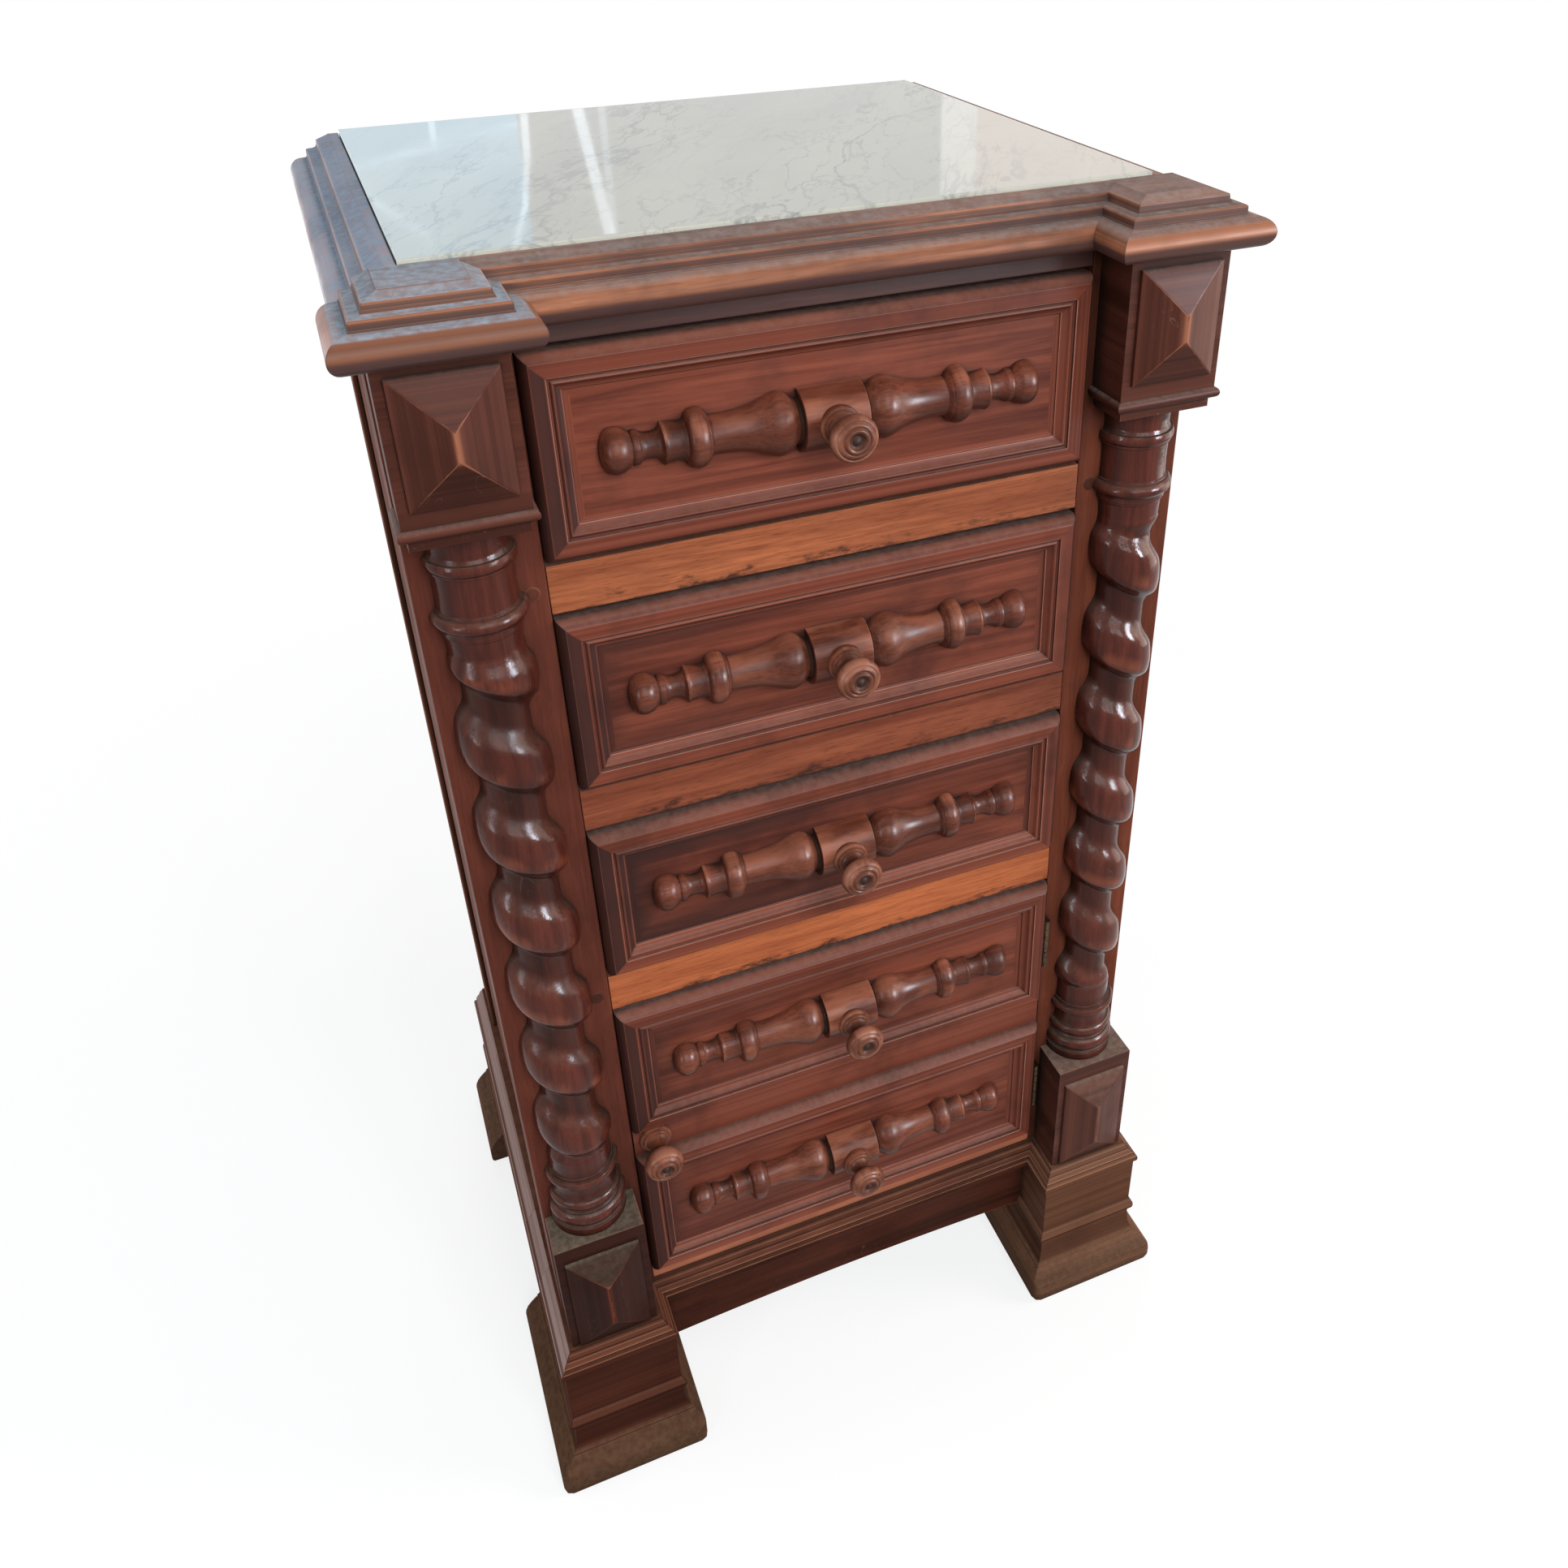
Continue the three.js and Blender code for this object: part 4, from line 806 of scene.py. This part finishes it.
def turned_outline(runs, length, radius, steps=4):
    """(radius, along, tone) of turned work. Rounds catch the wear and hollows hold the grime."""
    outline = []
    for points in runs:
        line = curve(points, steps) if len(points) > 2 else points
        outline += [(r * radius, a * length) for a, r in line]
    made = eased(outline, TURNED_EASE, 0.0)
    toned = []
    for r, a, tone in made:
        near = [q for q, b, _ in made if abs(b - a) < TONE_REACH]
        depth = (r - (max(near) + min(near)) / 2) / (HOLLOW_DEPTH * radius)
        toned.append((r, a, clamp(0.55 * tone + 0.5 * depth, -1.0)))
    return toned


def turned(outline, place, sides, half=False):
    """A round body from (radius, along, tone), or half of one with its flat side behind."""
    angles = evenly(0, math.pi, sides) if half else evenly(0, 2 * math.pi, sides)[:-1]
    rings = [[place(r * math.cos(a), r * math.sin(a), along) for a in angles] for r, along, _ in outline]
    tones = [[tone] * len(angles) for _, _, tone in outline]
    return loft(rings, tones, [(0, 0.0)] * len(angles))


SPINDLE_RADIUS = 20.0
PANEL_PLANE = -1.8
KNOB_RADIUS = 14.8
KNOB_LENGTH = 28.5
KNOB_FOOT = -1.5  # where a knob starts inside what carries it
KNOB_SUNK = 0.6  # how far a knob's outline begins inside the spindle
SPINDLE_SIDES, KNOB_SIDES, PEG_SIDES = 28, 40, 24
PULL_LENGTH = 36.0
TURNED_SMOOTH = 38


def spindle_tone(share, tone):
    """The block in the middle is rubbed pale, the shaft beside it is painted lighter where light falls on
    it, and the ends stay dark.
    """
    if share < 0.14:
        return max(tone, 0.4)
    if share < 0.53:
        return max(tone, 0.34) if share > 0.16 else tone
    return min(tone, 0.25) if share > 0.87 else tone


def build_spindle(name, body):
    low, high = limits("spindle_" + name)
    middle, half = (low.z + high.z) / 2, high.x
    outline = turned_outline(SPINDLE_RUNS, half, SPINDLE_RADIUS)
    outline = [(r, a, spindle_tone(a / half, t)) for r, a, t in outline]
    other = [(r, -a, t) for r, a, t in outline[:0:-1]]
    shape = turned(other + outline, lambda u, v, along: (along, PANEL_PLANE - v, middle + u),
                   SPINDLE_SIDES, True)
    add_piece(f"spindle_{name}_turned", body, ["spindle_" + name], spindle_wood, [shape],
              smooth=TURNED_SMOOTH)
    build_knob(name, body, 0.0, middle, PANEL_PLANE - SPINDLE_RADIUS + KNOB_SUNK, KNOB_LENGTH)


def build_knob(name, body, x, z, seat, length):
    outline = turned_outline(KNOB_RUNS, length, KNOB_RADIUS, 5)
    outline = [(outline[0][0], KNOB_FOOT, 0.0)] + outline
    shape = turned(outline, lambda u, v, along: (x + u, seat - along, z + v), KNOB_SIDES)
    add_piece(f"knob_{name}_turned", body, ["knob_" + name], knob_wood, [shape],
              smooth=TURNED_SMOOTH)


COLUMN_RADIUS = 27.5
COLUMN_BASE_LENGTH = 76.0
COLUMN_HEAD_LENGTH = 80.5
COLUMN_LEVELS, COLUMN_SIDES = 220, 40
TWIST_VALLEY = 18.5
TWIST_PITCH = 68.0
TWIST_ABOVE = 0.66  # how quickly a bulge falls away above its crest
TWIST_BELOW = 0.98
TWIST_FULLNESS = 0.5
TWIST_NECK = 0.47
TWIST_TOE = 0.8  # share of the fall in which a bulge eases into the neck
TWIST_FADE = 16.0
TWIST_END = 0.82  # share of the radius where the twist fades out
CREST_HEIGHTS = {"left": 704.5, "right": 674.5}
# Painted shade: the tones of a column's base are lowered, so that it is darker towards the floor
BASE_SHADE = 0.35


def twist(z, angle, crest, low, high):
    """Radius and tone of the twist at a height and angle."""
    swing = 2 * math.pi * (z - crest) / TWIST_PITCH - (angle - math.pi / 2)
    swing = (swing + math.pi) % (2 * math.pi) - math.pi
    rate = TWIST_ABOVE if swing > 0 else TWIST_BELOW
    lobe = math.cos(min(math.pi, abs(swing) * rate))
    bulge = max(0.0, (lobe + TWIST_NECK) / (1 + TWIST_NECK))
    bulge = bulge ** TWIST_FULLNESS * softened(min(1.0, bulge / TWIST_TOE))
    # Wear on the bulges, stronger below each crest, also paints the warm light falling on their lower
    # faces; the valleys are darkened with grime and painted shade
    rubbed_and_lit = lerp(0.1, 0.6, clamp(0.5 - swing)) * bulge
    fade = softened(clamp(min(z - low, high - z) / TWIST_FADE))
    radius = lerp(TWIST_END * COLUMN_RADIUS, lerp(TWIST_VALLEY, COLUMN_RADIUS, bulge), fade)
    return radius, fade * (rubbed_and_lit - 0.6 * (1 - bulge))


def build_column(side):
    low, high = limits("column_" + side)
    start, end = low.z + COLUMN_BASE_LENGTH, high.z - COLUMN_HEAD_LENGTH
    middle = (low.x + high.x) / 2
    base = turned_outline(COLUMN_BASE_RUNS, COLUMN_BASE_LENGTH, COLUMN_RADIUS)
    head = turned_outline(COLUMN_HEAD_RUNS, COLUMN_HEAD_LENGTH, COLUMN_RADIUS)
    levels = [(low.z + a, (r, t - BASE_SHADE)) for r, a, t in base]
    levels += [(z, None) for z in evenly(start, end, COLUMN_LEVELS)[1:-1]]
    levels += [(end + a, (r, t)) for r, a, t in head]
    angles = evenly(0, math.pi, COLUMN_SIDES)
    rings, tones = [], []
    for z, plain in levels:
        made = [plain or twist(z, angle, CREST_HEIGHTS[side], start, end) for angle in angles]
        rings.append([(middle + r * math.cos(a), -r * math.sin(a), z) for a, (r, _) in zip(angles, made)])
        tones.append([tone for _, tone in made])
    body = loft(rings, tones, [(0, 0.0)] * len(angles))
    add_piece(f"column_{side}_twisted", CARCASS, ["column_" + side], column_wood, [body],
              smooth=TURNED_SMOOTH)


# Fronts of the drawers and the door: (how far proud of the posts, how far in from the edge)

front_profile = eased(
    [(-14, 0), (-0.2, 0), (3.4, 0.9), (6.2, 2.5), (8, 4.6)]
    + [(8, 13.4), (6.4, 13.6), (6.2, 15.0)]
    + [(7.0, 15.7), (7.3, 16.5), (7.0, 17.2), (6.1, 17.8), (5.0, 18.4), (4.0, 19.4), (3.4, 20.7)]
    + [(3.2, 21.8), (2.2, 22.0), (1.8, 22.7), (1.8, 26)],
    0.35, 0.9,
)


# Painted shade: the wood is darker at the left and right of a front than in the middle
LEFT_SHADE, RIGHT_SHADE = -1.1, -0.45
SHADED_POINTS = {0: LEFT_SHADE, 11: LEFT_SHADE, 5: RIGHT_SHADE, 6: RIGHT_SHADE}  # of a ring
PANEL_EDGE = 22.3
BEVEL_END = 4.4
# How much darker the outer bevel of a front is
BEVEL_DARKENING = 0.45
PANEL_MIDDLE = 58.0  # how far in the painted shade at a panel's border ends
PANEL_BORDERS = {"drawer_1": 0.1, "drawer_2": 0.65, "drawer_3": 1.0}  # how much the painted shade darkens the border


def moulded_front(x0, x1, z0, z1, border=0.65):
    """A moulded front. border says how much painted shade darkens the sides of its panel."""
    rings, tones = [], []
    for proud, inset, tone in front_profile:
        rings.append(rectangle(x0 + inset, x1 - inset, z0 + inset, z1 - inset,
                               lambda a, b, y=-proud: (a, y, b)))
        made = corner_tones(tone, -0.6 if proud > 0 else 0.0)
        if inset > PANEL_EDGE:
            made = [tone + border * (RIGHT_SHADE if 3 <= i < 9 else LEFT_SHADE)
                    for i in range(RING_POINTS)]
        elif abs(tone) < 0.3 and proud > 0:
            for i, shade in SHADED_POINTS.items():
                made[i] = tone + shade
        if inset < BEVEL_END and tone < 0.3:
            made = [t - BEVEL_DARKENING for t in made]
        tones.append(made)
    proud = front_profile[-1][0]
    rings.append(rectangle(x0 + PANEL_MIDDLE, x1 - PANEL_MIDDLE, z0 + PANEL_MIDDLE, z1 - PANEL_MIDDLE,
                           lambda a, b: (a, -proud, b)))
    tones.append([0.0] * RING_POINTS)
    return loft(rings, tones, rectangle_sides(0, 2), (0, 2), 1)


def build_drawer_front(name):
    low, high = limits(name + "_front")
    add_piece(name + "_front_moulded", name, [name + "_front"], front_wood,
              [moulded_front(low.x, high.x, low.z, high.z, PANEL_BORDERS[name])], 0.3, 50)
    build_spindle(name, name)


DOOR_BAND = 30.0
BAND_GAP = 0.08
BAND_BACK = 14.0
LOWER_SHARE = 0.523  # of the door's height without the band
PULL_SEAT = 0.6


def build_door():
    low, high = limits("door_leaf")
    lower_top = low.z + (high.z - low.z - DOOR_BAND) * LOWER_SHARE
    height = DOOR_BAND - 2 * BAND_GAP
    band = stack(eased([(-4, 0), (0, 0), (0, height), (-4, height)], 0.3),
                 {"inner": low.x, "outer": high.x, "front": 0.0, "back": BAND_BACK}, lower_top + BAND_GAP)
    parts = [moulded_front(low.x, high.x, low.z, lower_top),
             moulded_front(low.x, high.x, lower_top + DOOR_BAND, high.z), band]
    add_piece("door_leaf_moulded", DOOR, ["door_leaf"], front_wood, parts, 0.3, 50)
    build_spindle("door_lower", DOOR)
    build_spindle("door_upper", DOOR)
    low, high = limits("knob_door_pull")
    build_knob("door_pull", DOOR, (low.x + high.x) / 2, (low.z + high.z) / 2, PULL_SEAT, PULL_LENGTH)


# Base

BASE_TOP = 150.0
plinth_outline = (
    arc(10.5, 67.5, 3.5, 6.9, -84, 84, 10)
    + [(10.5, 75.6), (10.5, 129.6), (12.3, 130.0), (12.9, 132.0), (12.9, 134.6), (12.3, 136.6)]
    + [(10.4, 137.0), (9.3, 137.7), (9.3, 138.6), (10.0, 139.2), (7.4, 143.0), (6.4, 143.6)]
    + [(6.2, 144.6), (4.6, 147.4), (2.5, 148.8), (2.5, 150.0)]
)
LIP = 139.5
BEAD_LOW, BEAD_MIDDLE, BEAD_HIGH = 60.0, 67.0, 74.5
BEAD_REACH = 11.0
COVE_LOW = 36.0
TOE_ROUNDING = 6.0
ROUNDED_BELOW, SQUARE_ABOVE = 14, 31  # heights between which that rounding fades out
foot_outline = (
    [(27.2, 0), (28.8, 1.2), (29.5, 3.2), (29.7, 6), (29.7, 12.5), (29.0, 17), (26.6, 22), (22.4, 27)]
    + [(17.6, 31.4), (16.4, 32.2), (16.2, 33.6)]
    + arc(16, 60, 5.3, 26, -84, -172, 8)
    + plinth_outline
)


def toe_rounding(up):
    return lerp(TOE_ROUNDING, 0.0, clamp((up - ROUNDED_BELOW) / (SQUARE_ABOVE - ROUNDED_BELOW)))


def base_tone(reach, up, tone):
    """The lip is rubbed; the bead below it is worn and painted with light on top, grimy and painted with
    shade underneath; the cove is grimy and painted with shade.
    """
    if up > LIP:
        return min(1.0, tone + 0.35) if tone > -0.3 else tone
    if BEAD_LOW < up < BEAD_HIGH and reach > BEAD_REACH:
        return 0.34 if up > BEAD_MIDDLE else -0.7
    if COVE_LOW < up < BEAD_LOW:
        return min(tone, -0.4)
    return tone


def toned_base(outline):
    return [(r, up, base_tone(r, up, tone)) for r, up, tone in eased(outline, 0.6)]


FOOT_BACK = 45.0
INNER_LIMIT = 24.0  # how far a foot's mouldings reach inwards
SIDE_WIDTH = 25
# Heel, plinth and rear foot along the side: outline, front, back
SIDE_STRETCHES = ((foot_outline, 44.9, 105.0), (plinth_outline, 105.3, 295.9), (foot_outline, 296.0, 390.0))
ARCH_BASE, ARCH_RISE = 65, 6
APRON_BACK, APRON_FRONT, APRON_TOP = -16, 2, 129.0
APRON_GAP = 2.5  # from its ends to the feet's blocks


def build_base():
    half = limits("front_post_right")[1].x
    plan = {"inner": BLOCK["inner"], "outer": half, "front": BLOCK["front"], "inner_limit": INNER_LIMIT}
    foot = stack(toned_base(foot_outline), {**plan, "back": FOOT_BACK, "rounding": toe_rounding}, 0)
    plan |= {"inner": half - SIDE_WIDTH, "flat_inside": True, "flat_front": True}
    heel, rail, rear = (stack(toned_base(outline), {**plan, "front": front, "back": back}, 0, 0.0)
                        for outline, front, back in SIDE_STRETCHES)
    for node, timber, parts, smooth in (
        ("foot_front_right", lit_base_wood, [foot, heel], 50),
        ("plinth_right", lit_base_wood, [rail, rear], 32),
        ("foot_front_left", shaded_base_wood, [mirrored(foot), mirrored(heel)], 50),
        ("plinth_left", window_lit_base_wood, [mirrored(rail), mirrored(rear)], 32),
    ):
        add_piece(node + "_worn", CARCASS, [node], timber, parts, 0.6, 60, smooth)


def build_apron():
    end = BLOCK["inner"] - APRON_GAP
    top = toned_base(plinth_outline[12:]) + [(APRON_BACK, BASE_TOP, 0.0)]
    sections = []
    for x in evenly(-end, end, 24):
        arch = ARCH_BASE + ARCH_RISE * (1 - (x / end) ** 2)
        section = eased([(APRON_BACK, arch), (APRON_FRONT, arch), (APRON_FRONT, APRON_TOP)], 0.8)
        sections.append((x, section + top))
    length = travelled([(x, section[0][1]) for x, section in sections])[-1]

    def end_grain(r, c):
        reach, up, _ = sections[r][1][c]
        return -reach, up + (length if r else 0.0)

    part = run(sections, 0, lambda reach, up, x: (x, -reach, up), end_grain)
    add_piece("apron_worn", CARCASS, ["apron_front"], shaded_base_wood, [part])


# Ends of the pegs that hold the rails' tenons

PEG_PLACES = {"left_upper": (-187.0, 808.0), "left_lower": (-187.0, 479.5), "right_upper": (187.0, 808.0)}
PEG_OUTLINE = [(4.9, -2.0), (4.9, 0.25), (3.0, 0.45), (0.3, 0.5)]


def build_pegs():
    for peg, (x, z) in PEG_PLACES.items():
        shape = turned(eased(PEG_OUTLINE, 0.2), lambda u, v, along: (x + u, -along, z + v), PEG_SIDES)
        add_piece("peg_" + peg, CARCASS, [], block_wood, [shape])


# CAD nodes that stay

# Material and rounding of nodes by how their names start, the longer starts first
KEPT = {
    "front_post_left": (shaded_left_post_wood, 1.0),
    "front_post": (post_wood, 1.0),
    "rear_post": (side_wood, 1.0),
    "side_panel": (side_wood, 0.4),
    "back_panel": (back_wood, 0.5),
    "top_board": (board_wood, 0.8),
    "floor_board": (floor_wood, 0.8),
    "divider_2": (red_rail_wood, 0.5),
    "divider_3": (low_rail_wood, 0.5),
    "divider": (rail_wood, 0.5),
    "drawer": (box_wood, 0.8),
    "hinge": (brass, 0.2),
}
WELD_DISTANCE = 0.00001


def finish_kept_nodes():
    for name, thing in nodes.items():
        if thing.hide_render:
            continue
        material, arris = next(v for k, v in KEPT.items() if name.startswith(k))
        if material is box_wood and name.endswith("_back"):
            material = box_back_wood
        thing.data.materials.clear()
        thing.data.materials.append(material)
        thing.modifiers.new("weld", "WELD").merge_threshold = WELD_DISTANCE
        add_arris(thing, arris, 40)


build_top()
build_blocks()
for column_side in ("left", "right"):
    build_column(column_side)
for drawer in DRAWERS:
    build_drawer_front(drawer)
build_door()
build_base()
build_apron()
build_pegs()
finish_kept_nodes()


# Camera, lamps and background

IMAGE = 1932.0
SENSOR = 36.0
FOCAL_PIXELS = 1681.98
CENTRE_OFFSET = (92.365, -178.013)  # pixels, right and down
CAMERA_PLACE = (-0.27126, -0.87978, 1.19753)
CAMERA_TURN = (2.0827513, -0.4232780, 0.2176415)  # rotation vector, world to camera

PANE_PLACE = 3.0  # y of the bright panes that the marble reflects
STRIP_AHEAD = 0.01  # of the strips, from the panes
WHITE = (1.0, 1.0, 1.0, 1.0)
SKY, SKY_STRENGTH = (0.92, 0.95, 1.0), 0.3
FLOOR_SIZE = 6.0
FLOOR_GREY = (0.2, 0.165, 0.14)
FADE_START, FADE_END = 0.5, 1.6  # distances over which the floor fades to white
KEY_ACROSS = (-0.45, 0.1, 0.65)
KEY_UP = (1.5, 2.2, 3.0)
# Name, place, aimed at, size, power, colour
SOFT_LAMPS = [("key", (x, -2.4, z), (0, 0, 0.7), (0.4, 0.4), 7.4, (0.93, 0.97, 1.0))
              for x in KEY_ACROSS for z in KEY_UP]
SOFT_LAMPS += [
    ("side", (2.2, -0.9, 1.5), (0, 0, 0.6), (1.0, 1.2), 34, (1.0, 0.9, 0.8)),
    ("left", (-2.1, -1.7, 1.7), (0, 0, 0.7), (0.25, 0.4), 7, (0.82, 0.9, 1.0)),
]
LAMPS_WITHOUT_GLINT = (
    ("window", (-2.5, 0.5, 1.4), (0, 0, 0.5), (1.2, 1.2), 22, (1.0, 0.93, 0.88)),
    ("back", (0.6, 2.8, 2.2), (0, 0, 0.6), (1.6, 1.6), 24, (0.95, 0.97, 1.0)),
)
GLINTS = (
    ("glint_right", (1.7, -1.75, 1.2), (0, -0.15, 0.65), (0.55, 0.65), 125, (0.82, 0.9, 1.0)),
    ("glint_left", (-2.0, -1.2, 0.95), (0, -0.15, 0.65), (0.35, 0.6), 18, (0.82, 0.91, 1.0)),
    ("low_window", (2.1, -0.35, 0.5), (0, -0.15, 0.65), (1.2, 1.0), 15, (1.0, 0.92, 0.84)),
)
# Name, left, right, bottom, top, glow, colour
PANES = (
    ("pane_side", -2.6, -0.25, 0.2, 2.8, 0.85, (0.5, 0.76, 1.0)),
    ("pane_left", -0.25, 0.34, 1.2, 2.8, 0.5, (0.05, 0.56, 0.96)),
    ("pane_frame", 0.56, 0.58, 1.2, 2.4, 0.35, (0.75, 0.86, 1.0)),
    ("pane_stripe", 1.59, 1.71, 1.2, 2.4, 0.5, (1.0, 0.9, 0.82)),
    ("pane_right", 1.71, 2.8, 1.2, 2.4, 0.34, (1.0, 0.6, 0.42)),
)
# Start, end, width, glow
STRIPS = (
    ((0.361, 1.45), (0.352, 1.6), 0.02, 0.9),
    ((0.352, 1.6), (0.331, 1.72), 0.016, 0.9),
    ((0.331, 1.72), (0.25, 1.93), 0.014, 0.9),
    ((0.49, 1.4), (0.565, 1.9), 0.03, 0.9),
    ((-0.25, 1.61), (0.355, 1.51), 0.012, 0.55),
    ((-0.2, 1.55), (0.076, 1.79), 0.012, 0.55),
    ((0.125, 1.42), (0.116, 1.537), 0.016, 0.55),
)
STRIP_COLOUR = (0.8, 0.9, 1.0)


def build_camera():
    turn = Vector(CAMERA_TURN)
    right, down, ahead = Matrix.Rotation(turn.length, 3, turn.normalized())
    data = bpy.data.cameras.new("camera")
    data.sensor_width = SENSOR
    data.lens = FOCAL_PIXELS * SENSOR / IMAGE
    data.shift_x = -CENTRE_OFFSET[0] / IMAGE
    data.shift_y = CENTRE_OFFSET[1] / IMAGE
    data.clip_start = 0.01
    made = add_object("camera", data)
    axes = Matrix((right, -down, -ahead)).transposed().to_4x4()
    made.matrix_world = Matrix.Translation(CAMERA_PLACE) @ axes
    bpy.context.scene.camera = made


def build_lamp(name, place, target, size, power, colour):
    data = bpy.data.lights.new(name, "AREA")
    data.shape = "RECTANGLE"
    data.size, data.size_y = size
    data.energy = power
    data.color = colour
    made = add_object(name, data)
    made.location = place
    made.rotation_mode = "QUATERNION"
    made.rotation_quaternion = (Vector(target) - Vector(place)).to_track_quat("-Z", "Y")
    made.visible_camera = False
    return made


def build_glowing(name, place, size, glow, colour):
    """A bright rectangle behind the cabinet that faces forwards."""
    return build_lamp(name, place, place - AT_BACK, size, glow * math.pi * size[0] * size[1], colour)


def build_pane(name, x0, x1, z0, z1, glow, colour):
    place = Vector(((x0 + x1) / 2, PANE_PLACE, (z0 + z1) / 2))
    build_glowing(name, place, (x1 - x0, z1 - z0), glow, colour).visible_diffuse = name == "pane_side"


def build_strip(start, end, width, glow):
    """A narrow bright line between two points (x, z) of the panes' plane."""
    low, high = (Vector((x, PANE_PLACE - STRIP_AHEAD, z)) for x, z in (start, end))
    along = (high - low).normalized()
    strip = build_glowing("pane_line", (low + high) / 2, (width, (high - low).length), glow, STRIP_COLOUR)
    strip.rotation_quaternion = Matrix((along.cross(AT_BACK), along, AT_BACK)).transposed().to_quaternion()
    strip.visible_diffuse = False


def seen_directly(tree):
    """1 for what the camera sees, also in a mirror or through glass."""
    path = add_node(tree, "LightPath").outputs
    shown = calc("MAXIMUM", path["Is Camera Ray"], path["Is Glossy Ray"])
    return calc("MAXIMUM", shown, path["Is Transmission Ray"])


def blend(factor, first, second):
    return derived("MixShader", {0: factor, 1: first, 2: second})


def build_world():
    world = bpy.data.worlds.new("studio")
    bpy.context.scene.world = world
    world.use_nodes = True
    tree = world.node_tree
    tree.nodes.clear()
    soft = add_node(tree, "Background", {"Color": rgba(SKY), "Strength": SKY_STRENGTH}).outputs[0]
    white = add_node(tree, "Background", {"Color": WHITE, "Strength": 1.0}).outputs[0]
    add_node(tree, "OutputWorld", {"Surface": blend(seen_directly(tree), soft, white)})


def build_floor():
    """White where it is seen, with the cabinet's shadow, and grey in the light that it throws back."""
    mesh = bpy.data.meshes.new("floor")
    size = FLOOR_SIZE
    corners = [(-size, -size, 0), (size, -size, 0), (size, size, 0), (-size, size, 0)]
    mesh.from_pydata(corners, [], [(0, 1, 2, 3)])
    add_object("floor", mesh)
    material, tree = new_material("floor")
    tree.nodes.clear()
    pale = add_node(tree, "BsdfDiffuse", {"Color": WHITE}).outputs[0]
    grey = add_node(tree, "BsdfDiffuse", {"Color": rgba(FLOOR_GREY)}).outputs[0]
    glow = add_node(tree, "Emission", {"Color": WHITE, "Strength": 1.0}).outputs[0]
    place = add_node(tree, "TexCoord").outputs["Object"]
    away = derived("VectorMath", {0: place}, "Value", operation="LENGTH")
    lit = blend(ramp(away, FADE_START, FADE_END, 0.75, 1.0), pale, glow)
    add_node(tree, "OutputMaterial", {"Surface": blend(seen_directly(tree), grey, lit)})
    mesh.materials.append(material)


build_camera()
build_world()
build_floor()
for lamp in SOFT_LAMPS:
    build_lamp(*lamp)
for lamp in LAMPS_WITHOUT_GLINT:
    build_lamp(*lamp).visible_glossy = False
for lamp in GLINTS:
    build_lamp(*lamp).visible_diffuse = False
for pane in PANES:
    build_pane(*pane)
for strip in STRIPS:
    build_strip(*strip)
bpy.context.scene.view_settings.view_transform = "Standard"
